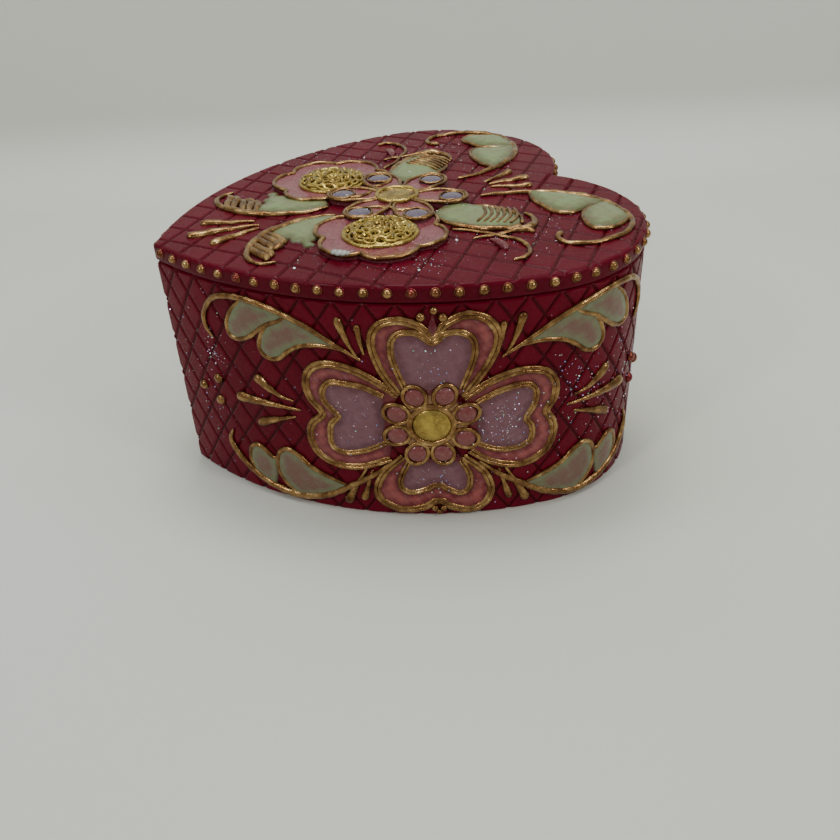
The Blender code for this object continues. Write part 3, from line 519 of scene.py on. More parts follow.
def blend_paint(fields, px, pz):
    """Mix the colour near an outline into the colour of the middle, along an uneven border. For the
    lavender and the pink, the darker edge colour is painted shade near the raised gold outlines, and the
    pink's paler middle is a painted highlight.
    """
    uneven = 0.16 * np.sin(px * 1.9 + 0.7 * pz) + 0.13 * np.sin(pz * 2.7 - px * 1.1)
    uneven += 0.1 * np.sin(px * 4.3 + pz * 3.1)
    share = np.clip(fields["rim"] * 1.6 + uneven, 0, 1)[..., None]
    fields["paint"] = fields["core"] + (fields["paint"] - fields["core"]) * share


def stamp(px, pz, fields, loop, lift, colours, dome=0.0, edge=0.6, margin=2.6):
    """Raise the part of a height field inside a loop, and give it its edge and middle colours."""
    loop = np.asarray(loop, float)
    low, high = loop.min(0) - margin, loop.max(0) + margin
    near = (px > low[0]) & (px < high[0]) & (pz > low[1]) & (pz < high[1])
    if not near.any():
        return
    inside, distance = polygon_fields(px[near], pz[near], loop)
    signed = np.where(inside, distance, -distance)
    share = np.clip(signed / edge + 0.5, 0, 1)
    share = share * share * (3 - 2 * share)
    height = lift + dome * np.clip(signed / 3.0, 0, 1) ** 0.5
    fields["height"][near] = fields["height"][near] * (1 - share) + height * share
    fields["groove_shade"][near] *= 1 - share
    mask = np.clip(signed / 0.25 + 0.5, 0, 1)
    close = np.clip(1 - np.abs(signed) / RIM_WIDTH, 0, 1)
    fields["rim"][near] = np.where(inside, close, np.maximum(fields["rim"][near], close))
    fields["enamel"][near] = np.maximum(fields["enamel"][near] * (1 - mask), mask)
    for name, colour in zip(("paint", "core"), colours):
        fields[name][near] = fields[name][near] * (1 - mask[:, None]) + np.array(colour) * mask[:, None]


def lattice(u, v, depth=0.42, half=0.42):
    """Two sets of parallel grooves; u and v are the distances to the nearest line of each set. Gives the
    height, and how strongly painted shade darkens each groove.
    """
    cut = np.maximum(np.clip(1 - np.abs(u) / half, 0, 1), np.clip(1 - np.abs(v) / half, 0, 1))
    return -depth * cut**0.8, np.clip(cut * 1.4, 0, 1)


def to_line(phase, pitch):
    """Distance to the nearest line of a set whose lines are at whole numbers of phase."""
    return (phase - np.round(phase)) * pitch


def oval(centre, along, across, turn=0.0, count=24, shift=0.0, swell=0.0):
    """Points round an oval, moved out along its first axis by the shift, then turned about the centre."""
    angles = np.linspace(0, 2 * math.pi, count, endpoint=False)
    u = shift + along * np.cos(angles)
    v = across * np.sin(angles) * (1 + swell * np.cos(angles))
    x = centre[0] + u * math.cos(turn) - v * math.sin(turn)
    y = centre[1] + u * math.sin(turn) + v * math.cos(turn)
    return np.column_stack([x, y])


def with_radius(points, radius):
    return np.column_stack([points, np.full(len(points), radius)])


def flat_path(points, closed=False, step=0.6):
    """Smooth curve through points that have no radius."""
    return smooth_path(np.asarray(points, float)[:, :2], closed, step)


# ---------------------------------------------------------------- wall ornament, as (distance, height)

MIRROR = 64.5
WALL_DISC = (64.2, 24.4)
# Each enamel is its colour near an outline and its colour in the middle. The darker lavender edge is
# painted shade beside the raised gold lines. The crimson pink edge is painted shade there too, and the pale
# salmon middle is a painted highlight. The mint's green edge and pinkish middle are its own two colours.
LAVENDER = ((0.095, 0.030, 0.042), (0.160, 0.066, 0.084))
PINK = ((0.105, 0.003, 0.009), (0.27, 0.062, 0.056))
MINT = ((0.135, 0.158, 0.078), (0.145, 0.078, 0.055))
DISC_BASE = ((0.25, 0.13, 0.05), (0.25, 0.13, 0.05))

PETALS = {
    "top": {
        "outer": [(57.8, 31.8), (54.6, 37), (53, 43), (54.3, 46.8), (58, 48.2), (62, 47.2), (65, 45),
                  (67.6, 47.4), (71.5, 49), (75.6, 47.6), (77.5, 44), (76.4, 39.4), (73.4, 34.6),
                  (70.8, 31)],
        "inner": [(59.4, 32.6), (57.8, 37), (56.8, 41.2), (57.4, 44.6), (60, 45.8), (62.6, 45.2),
                  (65, 43.4), (67.2, 45.2), (69.8, 45.6), (72.4, 44.2), (73, 41), (72, 37), (70.4, 33)],
    },
    "right": {
        "outer": [(71, 30.6), (75.6, 33.6), (80, 35.2), (84, 35.5), (87.8, 34.2), (89.6, 31),
                  (89.3, 27.6), (87.8, 25.2), (89.3, 22), (89.6, 19), (87.8, 14.8), (83, 12.5),
                  (77, 13.8), (72, 17.2)],
        "inner": [(73.4, 29.4), (78, 31.6), (82.2, 32.4), (85, 31.4), (85.4, 28.6), (84.4, 25.8),
                  (83.4, 24.2), (84.6, 22.2), (84.8, 19.4), (83.4, 17.6), (79.6, 17), (76, 17.8),
                  (73.2, 19.6)],
    },
    "left": {
        "outer": [(57.4, 31.4), (53, 34.6), (48.8, 36.8), (44, 37.7), (40.2, 36.4), (38.4, 33), (39, 29),
                  (41.4, 25.6), (38.8, 22.6), (37.9, 19), (39.4, 15), (43.6, 12.8), (49, 13), (55, 15.4)],
        "inner": [(54.6, 31.2), (51, 33), (47, 33.6), (43.4, 33.4), (41.9, 30.4), (43, 27.6),
                  (44.9, 25.5), (43.2, 23.4), (42.7, 20), (43.2, 17.4), (46, 16.4), (50, 17.4),
                  (54.4, 19.6)],
    },
    "bottom": {
        "outer": [(57.8, 16), (53.8, 11.8), (51.8, 7), (53, 3.8), (57, 1.9), (61.6, 2.5), (65, 4.4),
                  (68, 2.5), (72, 1.6), (75.2, 3.4), (76.3, 7), (74.6, 11.8), (70.6, 15.8)],
        "inner": [(59, 14.8), (57.4, 11), (57.2, 8.2), (59.2, 6.8), (62.4, 7.6), (65, 8.9), (67.4, 7.4),
                  (70, 6.4), (71.6, 8), (71.6, 11.6), (70, 15)],
    },
}
FLORETS = [(61, 31.2), (67, 31.4), (71.2, 26.9), (71, 20.9), (66.3, 17.3), (61, 17.3), (57.1, 21.9),
           (57.2, 27.2)]
LEAF_TOP = [(50.5, 39.3), (45.5, 42.3), (40, 45.6), (35, 47.7), (30, 49), (25, 49.5), (20, 48.8),
            (16.8, 46.8), (14.4, 43.2), (14.4, 40.3), (16, 38.3)]
LEAF_TOP_LOBES = [
    [(25.2, 48.8), (22.6, 46.2), (21, 43), (21.2, 40.6), (23.2, 39.8), (26, 40.8), (28.6, 42.8), (31, 44.6),
     (34, 46), (35.6, 47)],
    [(34.4, 46.4), (31, 44.4), (29.2, 41.6), (28.7, 38.8), (30.4, 37), (33, 37.4), (35.6, 39.6),
     (38.6, 41.2), (43, 41.8), (47.6, 41.2)],
]
LEAF_LOW = [(55, 14.2), (51, 10.6), (46, 7.2), (40, 3.6), (33, 1.9), (26.5, 2.8), (20.6, 5.4), (17, 8.4),
            (15.2, 11.6), (16.4, 14.6)]
LEAF_LOW_LOBES = [
    [(21.6, 5.6), (20.8, 8.6), (21.6, 11.8), (23.8, 13), (26, 11.8), (27.4, 10.8), (29, 11)],
    [(32.6, 2.3), (30, 4.6), (28.4, 8), (29.2, 12.4), (31.6, 14.2), (34.4, 13), (36.6, 11), (40, 9.2),
     (44.6, 7.4)],
]
STROKES = [
    [(34.5, 27.3, 0.3), (31.5, 28, 0.5), (28.6, 29.6, 0.95), (26.9, 31, 1.15)],
    [(36, 25.3, 0.3), (31, 25.3, 0.6), (26, 25.2, 0.95), (21.2, 25.1, 1.3)],
    [(34.5, 23.2, 0.3), (31, 22, 0.6), (28, 20.8, 1.0), (25.9, 19.8, 1.15)],
    [(50, 39.6, 0.25), (48.6, 42, 0.45), (47.4, 45, 0.8), (46.7, 47.4, 1.0)],
    [(51.3, 40.6, 0.25), (50.8, 43, 0.5), (50.4, 46.2, 0.75)],
    [(50.2, 13, 0.25), (48.2, 9.4, 0.45), (46.4, 6, 0.85), (45.2, 3.4, 1.15)],
    [(51, 11.8, 0.25), (50, 8.4, 0.5), (48.8, 4.4, 0.95)],
]
DOTS = [(14.8, 27.6), (9.2, 24.2), (14.2, 21.9)]


def mirrored(points):
    return [(2 * MIRROR - p[0], *p[1:]) for p in points]


def leaf_loop(spine, lobe):
    """Closed loop between a stretch of the leaf's spine and the lobe's free edge."""
    edge, back = flat_path(lobe), flat_path(spine)
    first = np.argmin(np.hypot(*(back - edge[0]).T))
    last = np.argmin(np.hypot(*(back - edge[-1]).T))
    piece = back[min(first, last):max(first, last) + 1]
    if first < last:
        piece = piece[::-1]
    return np.vstack([edge, piece])


def wall_fields(s, z):
    """Height, painted groove shade and paint of the outer wall for distance s (of one half) and height z.
    """
    fields = new_fields(s.shape)
    warp = 0.25 * np.sin(s / 9.0) + 0.2 * np.sin(z / 7.0 + 1.0)
    u = to_line((s - 26.2 + warp) / 6.4 + (z - 33) / 9.3, 5.27)
    v = to_line((s - 26.2 + warp) / 6.4 - (z - 33) / 9.3, 5.27)
    fields["height"], fields["groove_shade"] = lattice(u, v)
    for petal in PETALS.values():
        stamp(s, z, fields, flat_path(petal["outer"]), 0.45, PINK)
        stamp(s, z, fields, flat_path(petal["inner"]), 0.55, LAVENDER, dome=0.25)
    for spine, lobes in ((LEAF_TOP, LEAF_TOP_LOBES), (LEAF_LOW, LEAF_LOW_LOBES)):
        for lobe in lobes:
            loop = leaf_loop(spine, lobe)
            for points in (loop, mirrored(loop)):
                stamp(s, z, fields, points, 0.4, MINT, dome=0.3)
    stamp(s, z, fields, oval((64.3, 24.4), 7.2, 7.2, count=39), 0.75, DISC_BASE)
    blend_paint(fields, s, z)
    return fields


def wall_to_space(s, z, offset, side):
    """Points and normals on one half of the wall."""
    x, y = heart_xy(np.asarray(s) * side, offset)
    nx, ny = wall_frame(np.asarray(s) * side)
    points = np.stack([x, y, np.broadcast_to(z, x.shape)], axis=-1)
    return points, np.stack([nx, ny, np.zeros_like(nx)], axis=-1)


def wall_tube(solids, path, side, offset=0.35, closed=False):
    """A gilt line on the wall. The path's third column is the radius."""
    fine = smooth_path(path, closed, 0.45)
    wobble = 1 + 0.06 * np.sin(np.arange(len(fine)) * 0.9 + fine[0, 0])
    centres, normals = wall_to_space(fine[:, 0], fine[:, 1], offset, side)
    add_tube(solids, centres, normals, fine[:, 2] * wobble, flat=0.85, closed=closed)


def wall_ball(solids, spot, side, radius, offset, squash, **shape):
    centre, normal = wall_to_space(np.array([spot[0]]), np.array([spot[1]]), offset, side)
    add_ball(solids, centre[0], radius, normal[0], squash, **shape)


def tapered(points, ends, middle, power=0.6):
    """Give a line a radius that is thin at both ends."""
    share = np.linspace(0, 1, len(points))
    swell = np.sin(math.pi * share) ** power
    return [(*p, ends + (middle - ends) * w) for p, w in zip(points, swell)]


def beside(points, distance):
    """The line moved sideways in its own plane."""
    p = smooth_path(np.asarray(points, float), False, 1.5)
    along = np.gradient(p[:, :2], axis=0)
    along /= np.linalg.norm(along, axis=1)[:, None] + 1e-12
    p[:, :2] += distance * np.stack([along[:, 1], -along[:, 0]], axis=1)
    return p


SMALL_BALLS = [(62.8, 48.9, 0.95), (67, 48.7, 0.95), (65.3, 50.2, 0.8), (64.2, 2.2, 0.8), (66, 2.2, 0.8),
               (65.1, 1.2, 0.7)]


def make_wall_gilding(side, name, gilt):
    solids = Solids()
    for petal in PETALS.values():
        for distance in (-0.42, 0.42):
            wall_tube(solids, beside(tapered(petal["outer"], 0.42, 0.54, 0.3), distance), side)
        for distance in (-0.34, 0.34):
            wall_tube(solids, beside(tapered(petal["inner"], 0.34, 0.42, 0.3), distance), side, offset=0.55)
    for spine, lobes, thick in ((LEAF_TOP, LEAF_TOP_LOBES, 0.72), (LEAF_LOW, LEAF_LOW_LOBES, 0.95)):
        for turn in (list, mirrored):
            wall_tube(solids, turn(tapered(spine, 0.3, thick)), side)
            for lobe in lobes:
                wall_tube(solids, turn(tapered(lobe, 0.35, 0.62, 0.4)), side)
    for stroke in STROKES:
        wall_tube(solids, stroke, side, offset=0.2)
        wall_tube(solids, mirrored(stroke), side, offset=0.2)
    for dots, stain in ((DOTS, 0.0), (mirrored(DOTS), 1.0)):
        for dot in dots:
            wall_ball(solids, dot, side, 1.2, 0.1, 0.8, tag=stain)
    for s, z, radius in SMALL_BALLS:
        wall_ball(solids, (s, z), side, radius, 0.3, 0.9)
    wall_tube(solids, with_radius(oval(WALL_DISC, 4.5, 4.5), 0.7), side, offset=0.8, closed=True)
    for s, z in FLORETS:
        outward = math.atan2(z - WALL_DISC[1], s - WALL_DISC[0])
        rim = with_radius(oval((s, z), 2.75, 2.2, outward, 12), 0.48)
        wall_tube(solids, rim, side, offset=0.85, closed=True)
    solids.finish(name, gilt, "case", attribute="stain")


def make_wall_disc(side, name, yellow):
    solids = Solids()
    wall_ball(solids, WALL_DISC, side, 4.1, 0.55, 0.3, sides=32, rings=14)
    solids.finish(name, yellow, "case")


def make_wall_gems(side, name, pink):
    solids = Solids()
    for spot in FLORETS:
        wall_ball(solids, spot, side, 2.15, 0.55, 0.5, sides=18, rings=10)
    solids.finish(name, pink, "case")


# ---------------------------------------------------------------- box body


def closed_grid(rows, columns):
    """Faces of a tube of rows x columns points, with a flat cap over the first and the last row."""
    i = np.arange(rows - 1)[:, None]
    j = np.arange(columns)[None, :]
    a, b = i * columns + j, i * columns + (j + 1) % columns
    faces = [tuple(f) for f in np.stack([a, b, b + columns, a + columns], axis=-1).reshape(-1, 4)]
    faces.append(tuple(range(columns))[::-1])
    faces.append(tuple((rows - 1) * columns + j for j in range(columns)))
    return faces


def perimeter(step):
    """Signed distances all round the outline, from the tip up the right half and back down the left."""
    half = np.linspace(0, HALF, int(HALF / step) + 1)
    return np.concatenate([half, -half[1:-1][::-1]])


INNER_ROWS = ((6.5, 32.5), (6.5, 20), (6.5, 10.5), (4.0, 10.5), (4.0, 5), (4.0, 0.3), (3.7, 0.0),
              (0.5, 0.0))
RIM_ROWS = ((0.45, BOX_TOP), (4.6, BOX_TOP), (WALL, BOX_TOP - 0.4), (WALL, 44), (WALL, 38), (WALL, 35.5))


def outline_rows(s, rows):
    """Plain rows of points round the outline. Each row is (inset, height)."""
    made = []
    for inset, height in rows:
        x, y = heart_xy(s, -inset)
        made.append(np.stack([x, y, np.full(len(s), height)], axis=1))
    return made


def add_paint(obj, fields, before, after):
    """Put the painted fields on a mesh that has this many plain points before and after them."""
    for name in ("enamel", "groove_shade"):
        put_attribute(obj, name, np.concatenate([np.zeros(before), fields[name].ravel(), np.zeros(after)]))
    paint = fields["paint"].reshape(-1, 3)
    put_attribute(obj, "paint", np.vstack([np.zeros((before, 3)), paint, np.zeros((after, 3))]))


def make_body(paint):
    step = 0.3
    s = perimeter(step)
    heights = np.linspace(0.35, BOX_TOP - 0.35, int(BOX_TOP / step))
    fields = wall_fields(*np.meshgrid(np.abs(s), heights))
    x, y = heart_xy(np.broadcast_to(s, fields["height"].shape), fields["height"])
    z = np.broadcast_to(heights[:, None], x.shape)
    inside, rim = outline_rows(s, INNER_ROWS), outline_rows(s, RIM_ROWS)
    points = np.vstack([*inside, np.stack([x, y, z], axis=-1).reshape(-1, 3), *rim])
    faces = closed_grid(len(points) // len(s), len(s))
    body = mesh_object("box_shell", points, faces, paint, "case", sharp=50)
    add_paint(body, fields, len(inside) * len(s), len(rim) * len(s))
    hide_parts("box_body")


# ---------------------------------------------------------------- lid


def lid_fields(x, y):
    fields = new_fields(x.shape)
    warp = 0.3 * np.sin(x / 8.0) + 0.25 * np.sin(y / 9.0 + 1.0)
    u = to_line((0.65 * (x + warp) + 0.76 * y + 2.2) / 6.2, 6.2)
    v = to_line((-0.65 * (x + warp) + 0.76 * y + 2.2) / 6.2, 6.2)
    fields["height"], fields["groove_shade"] = lattice(u, v, 0.4, 0.38)
    for loop in (*UPPER_LOBES_FILLED, MID_LEAF, LOWER_LEAF):
        dome = 0.8 if loop in UPPER_LOBES_FILLED else 0.45
        for side in (1, -1):
            stamp(x, y, fields, flat_path(loop, True, 0.7) * (side, 1), 0.4, LID_MINT, dome=dome)
    blend_paint(fields, x, y)
    return fields


# Each row of the edge and the underside is (inset, height, share of the last row's relief).
LID_EDGE = (
    (0.35, LID_TOP - 0.18, 0.9), (0.08, LID_TOP - 0.5, 0.55), (0.0, LID_TOP - 0.9, 0), (0.0, 54.0, 0),
    (0.0, 53.3, 0), (0.0, 52.5, 0), (0.0, 51.95, 0), (0.15, 51.6, 0), (0.4, LID_BOTTOM, 0),
    (5.5, LID_BOTTOM, 0), (5.6, 51.3, 0), (5.6, 48.8, 0), (5.9, 48.5, 0), (7.9, 48.5, 0), (8.2, 48.8, 0),
    (8.2, LID_BOTTOM, 0),
)


def make_lid(paint):
    s = perimeter(0.34)
    edge_x, edge_y = heart_xy(s, -0.75)
    middle = CENTRE_Y - 5.0
    share = np.linspace(0.004, 1.0, 150)[:, None] ** 0.9
    x, y = share * edge_x, middle + share * (edge_y - middle)
    fields = lid_fields(x, y - CENTRE_Y)
    top = np.stack([x, y, LID_TOP + fields["height"]], axis=-1).reshape(-1, 3)
    edge = outline_rows(s, [row[:2] for row in LID_EDGE])
    for points, row in zip(edge, LID_EDGE):
        points[:, 2] += row[2] * fields["height"][-1]
    points = np.vstack([top, *edge])
    faces = [face[::-1] for face in closed_grid(len(points) // len(s), len(s))]
    lid = mesh_object("lid_slab", points, faces, paint, "lid", sharp=50)
    add_paint(lid, fields, 0, len(edge) * len(s))
    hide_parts("lid")


BEAD_START, BEAD_PITCH, BEADS_PER_SIDE = 2.53, 4.52, 35
WORN_BEADS = {0: 1.0, 5: 1.0, 13: 1.0, 14: 0.5}


def make_beads(gilt):
    """The bead row, each bead on a flat red base. A few beads have lost their gilding."""
    solids = Solids()
    for side in (1, -1):
        for index in range(BEADS_PER_SIDE):
            s = BEAD_START + BEAD_PITCH * index + RNG.normal(0, 0.08)
            x, y = heart_xy(s * side, 0.05)
            nx, ny = wall_frame(s * side)
            stain = WORN_BEADS.get(index, 0.0) if side == 1 or index == 14 else 0.0
            size = 0.9 * (1 + RNG.normal(0, 0.05))
            spot = (x, y, 53.65 + RNG.normal(0, 0.06))
            add_ball(solids, spot, size, (nx, ny, 0), 0.95, 16, 10, stain)
            add_ball(solids, spot, 1.15, (nx, ny, 0), 0.22, 16, 6, 1.0)
    solids.finish("lid_beads", gilt, "lid", attribute="stain")


# ---------------------------------------------------------------- lid ornament
# Here y = 0 is the line through the centres of the lobes.

LID_MINT = ((0.085, 0.108, 0.036), (0.150, 0.200, 0.078))
FLOWER = np.array([0.0, -17.0])
SIDE_FLOWER = np.array([17.6, -27.0])
SKIRT_NOTCH = math.radians(22)
UPPER_SPINE = [(6.6, 1.0, 0.35), (7.2, 5.5, 0.55), (9.6, 11.5, 0.7), (12.8, 16.6, 0.85), (17.6, 21, 0.9),
               (23, 23.3, 0.85), (29, 23.9, 0.75), (34.6, 22.6, 0.7), (38.8, 18.6, 0.65), (40.6, 13, 0.6),
               (40.4, 8.6, 0.55), (38.4, 5.4, 0.55), (35.4, 4.8, 0.6), (33.8, 6.2, 0.7)]
UPPER_LOBES = [
    [(9.6, 11.5), (13, 10.4), (18.2, 10.2), (22.9, 11.3), (24.8, 13.4), (24.4, 16.4), (23.2, 19.6),
     (22.8, 23.3)],
    [(22.9, 23.4), (23.4, 19.6), (26.0, 16.0), (30.4, 14), (34, 13.9), (35.7, 16.6), (34.4, 20.4),
     (32.5, 23.3)],
]
MID_LEAF = [(8, -6), (11, -3.2), (13.6, -0.8), (17, 1.6), (21, 2.8), (24.6, 1.8), (26.6, -0.6),
            (26.2, -4), (24, -7.6), (20.5, -11), (16.5, -13.2), (11, -12)]
MID_EDGES = [
    [(13.5, -13.4, 0.4), (17.5, -12.4, 0.6), (21.5, -9.8, 0.7), (24.6, -6.2, 0.75), (26.4, -2.4, 0.7),
     (26.3, 0.6, 0.55)],
    [(11.6, -2.8, 0.35), (14.6, 0.4, 0.55), (18.5, 2.6, 0.6), (22.0, 3.1, 0.55), (25, 2.0, 0.45)],
    [(20.5, 4.8, 0.35), (23.5, 5.2, 0.6), (26.4, 4.1, 0.85), (28.2, 1.8, 1.05), (28.0, -0.2, 0.75)],
]
LOWER_LEAF = [(3, -33), (7, -32), (10.4, -36), (12.0, -38.8), (13.6, -38.6), (15.0, -41.2), (16.8, -40.6),
              (17.2, -43), (14.6, -43.2), (13.4, -45.0), (11.4, -44.8), (9.6, -47.4), (6.6, -47.4),
              (4.2, -44.0), (2.6, -39)]
LOWER_SPINE = [(2.8, -32.6, 0.35), (2.0, -37.2, 0.5), (3.0, -42.2, 0.7), (6.0, -48.2, 0.95),
               (10.2, -52.2, 0.95), (15.0, -54.6, 0.75), (18.8, -54.6, 0.6), (21.2, -52.8, 0.45),
               (21.8, -50.4, 0.35)]
LOWER_CURLS = [
    [(6.6, -48.4, 0.6), (9.6, -47.0, 0.95), (12.0, -46.4, 1.0), (13.4, -47.2, 0.6)],
    [(7.4, -49.6, 0.6), (10.8, -48.4, 1.0), (13.8, -47.6, 1.05), (15.2, -48.6, 0.6)],
    [(8.6, -50.8, 0.6), (12.0, -49.9, 0.95), (14.4, -49.2, 0.95), (15.6, -50.0, 0.5)],
    [(11.0, -52.2, 0.6), (14.4, -51.3, 0.95), (17.0, -50.1, 1.0), (18.4, -50.4, 0.5)],
    [(12.2, -53.4, 0.6), (15.8, -52.6, 0.95), (18.4, -51.3, 0.95), (19.8, -51.6, 0.5)],
]
LID_STROKES = [
    [(0, 6.0, 0.3), (-0.3, 10.6, 0.7), (0, 15.2, 1.0)],
    [(1.8, 5.6, 0.3), (3.8, 10.0, 0.65), (5.2, 13.4, 0.95)],
    [(0.4, -49, 0.3), (0, -55, 0.8), (0, -63.3, 1.15)],
    [(2.2, -49.5, 0.3), (3.7, -54.0, 0.7), (6, -59.6, 1.0)],
]
UPPER_LOBES_FILLED = [
    [*UPPER_LOBES[0], (19.6, 21.9), (14.4, 18.4), (11.0, 14.2)],
    [*UPPER_LOBES[1], (28.4, 24.0)],
]
SWIRLS = [
    [(22, -12.5, 0.25), (25, -8.6, 0.38), (29, -5.6, 0.42), (32, -3.2, 0.45), (36, -2.4, 0.5),
     (39.2, -3.4, 0.5), (41, -5.4, 0.45), (41, -7.4, 0.4)],
    [(28.2, -10.4, 0.25), (28.5, -7.0, 0.4), (28.4, -4.0, 0.45), (28.3, -1.2, 0.6), (29.0, 1.4, 0.95),
     (30.0, 1.8, 0.6)],
]
RED_DROP = [(30.0, -7.6, 0.3), (31.8, -7.0, 0.75), (33.8, -6.6, 1.0), (35.4, -6.8, 0.6)]


def flip_x(points):
    return [(-p[0], *p[1:]) for p in points]


def on_lid(xy, height=0.0):
    xy = np.asarray(xy, float)
    z = np.broadcast_to(LID_TOP + np.asarray(height, float), xy.shape[:-1])
    return np.stack([xy[..., 0], xy[..., 1] + CENTRE_Y, z], axis=-1)


def lid_tube(solids, path, height=0.25, closed=False, flat=0.9, step=0.42):
    """A gilt line on the lid. The path's third column is the radius."""
    fine = smooth_path(path, closed, step)
    wobble = 1 + 0.07 * np.sin(np.arange(len(fine)) * 0.8 + fine[0, 1])
    centres = on_lid(fine[:, :2], height + 0.08 * np.sin(np.arange(len(fine)) * 0.37))
    add_tube(solids, centres, np.array([0.0, 0.0, 1.0]), fine[:, 2] * wobble, flat=flat, closed=closed)


def skirt_reach(angle, side):
    """Radius of a side flower's scalloped edge."""
    notch = SKIRT_NOTCH if side > 0 else math.pi - SKIRT_NOTCH
    wave = np.abs(np.sin(3 * (np.asarray(angle) - notch)))
    return 11.4 + 2.7 * wave**0.6


def skirt_loop(side, inset=0.0):
    angles = np.linspace(0, 2 * math.pi, 120, endpoint=False)
    reach = (skirt_reach(angles, side) - inset)[:, None]
    return SIDE_FLOWER * (side, 1) + reach * np.column_stack([np.cos(angles), np.sin(angles)])


def petal_loop(step, scale):
    """One petal of the front flower."""
    return oval(FLOWER, 6.3 * scale, 3.9 * scale, math.radians(60 * step), 20, shift=9.6, swell=0.16)


def gem_loop(step, scale):
    """The dark gem near that petal's end."""
    return oval(FLOWER, 2.7 * scale, 2.75 * scale, math.radians(60 * step), 14, shift=12.5)


def both_sides(points):
    return points, flip_x(points)


def mid_leaf_ribs():
    """Fine ribs across the middle leaf, from its upper edge to its lower one."""
    ribs = []
    for t in np.linspace(0, 1, 6):
        top, low = np.array([13.6 + 4.4 * t, -1.8 + 5.2 * t]), np.array([21.4 + 3.6 * t, -6.6 + 6.0 * t])
        bow = (top + low) / 2 + np.array([0.5, 0.9])
        ribs.append([(*top, 0.28), (*bow, 0.42), (*low, 0.3)])
    return ribs


def make_lid_gilding(gilt):
    solids = Solids()
    lines = [UPPER_SPINE, *MID_EDGES, LOWER_SPINE, *LOWER_CURLS, *SWIRLS]
    lines += [tapered(UPPER_LOBES[0][:6], 0.35, 0.6, 0.4), tapered(UPPER_LOBES[1][1:], 0.35, 0.6, 0.4)]
    for paths, height in ((lines, 0.3), (mid_leaf_ribs(), 0.85)):
        for path in paths:
            for points in both_sides(path):
                lid_tube(solids, points, height)
    for stroke in LID_STROKES:
        for points in both_sides(stroke) if stroke[0][0] > 1 else (stroke,):
            lid_tube(solids, points, 0.1)
    for side in (1, -1):
        lid_tube(solids, with_radius(skirt_loop(side, 0.1), 0.5), 1.0, closed=True, flat=1.0)
    for step in range(6):
        lid_tube(solids, with_radius(petal_loop(step, 1.0), 0.42), 1.35, closed=True, flat=1.0)
        lid_tube(solids, with_radius(gem_loop(step, 1.0), 0.26), 1.4, closed=True, flat=1.0, step=0.35)
    solids.finish("lid_gilding", gilt, "lid")


def add_bowl(solids, centre, loop, profile, tag=0.0):
    """A closed shape over a loop. Its profile is (share of the way out, height), from the middle."""
    loop = np.asarray(loop, float)
    centre = np.asarray(centre, float)
    count = len(loop)
    rows = [on_lid(centre + (loop - centre) * share, height) for share, height in profile]
    middle = on_lid(centre[None], profile[0][1])
    points = np.vstack([middle, *rows])
    faces = [(0, 1 + k, 1 + (k + 1) % count) for k in range(count)]
    for row in range(len(rows) - 1):
        for k in range(count):
            a, b = 1 + row * count, 1 + (k + 1) % count + row * count
            faces.append((a + k, a + count + k, b + count, b))
    faces.append(tuple(1 + (len(rows) - 1) * count + k for k in range(count))[::-1])
    solids.put(points, faces, tag)


SKIRT_PROFILE = [(0.3, 0.55), (0.58, 0.6), (0.66, 0.46), (0.74, 0.44), (0.82, 0.56), (0.9, 0.76),
                 (0.97, 0.95), (1.0, 0.95), (1.0, 0.4), (0.99, -0.4)]
PETAL_PROFILE = [(0.2, 0.95), (0.5, 0.9), (0.75, 1.0), (0.92, 1.2), (1.0, 1.25), (1.0, 0.5), (0.98, -0.4)]
GEM_PROFILE = [(0.25, 1.7), (0.6, 1.62), (0.85, 1.42), (1.0, 1.2), (1.0, 0.6)]
BUTTON_PROFILE = [(0.3, 1.85), (0.7, 1.7), (0.9, 1.5), (1.0, 1.4), (1.0, 0.0)]
LINK_RINGS = ((6.5, 18), (5.1, 14), (3.7, 10), (2.3, 7), (0.8, 2))


def make_lid_flowers(pink, violet, yellow):
    """Pink petals and skirts, dark gems, and the yellow-gold centres."""
    pinks, gems, golds = Solids(), Solids(), Solids()
    dome = []
    for share in np.linspace(0.1, 1.0, 9):
        dome.append((share, 0.3 + 1.45 * math.sqrt(max(0.0, 1 - (share * 0.985) ** 2))))
    for side in (1, -1):
        centre = SIDE_FLOWER * (side, 1)
        add_bowl(pinks, centre, skirt_loop(side), SKIRT_PROFILE)
        add_bowl(golds, centre, oval(centre, 7.6, 7.6, count=40), [*dome, (1.0, 0.0)], 1.0)
        lid_tube(golds, with_radius(oval(centre, 7.6, 7.6, count=20), 0.6), 0.75, closed=True)
        for radius, links in LINK_RINGS:
            for index in range(links):
                add_link(golds, centre, radius, 2 * math.pi * (index + RNG.uniform(-0.2, 0.2)) / links)
    for step in range(6):
        angle = math.radians(60 * step)
        outward = np.array([math.cos(angle), math.sin(angle)])
        add_bowl(pinks, FLOWER + 9.6 * outward, flat_path(petal_loop(step, 0.98), True), PETAL_PROFILE)
        add_bowl(gems, FLOWER + 12.5 * outward, flat_path(gem_loop(step, 0.95), True, 0.4), GEM_PROFILE)
    button = oval(FLOWER, 4.5, 4.5)
    add_bowl(golds, FLOWER, button, BUTTON_PROFILE)
    lid_tube(golds, with_radius(button, 0.55), 1.55, closed=True, flat=1.0)
    pinks.finish("lid_petals", pink, "lid", sharp=55)
    gems.finish("lid_gems", violet, "lid", sharp=55)
    golds.finish("lid_gold_centres", yellow, "lid", attribute="stain", sharp=55)


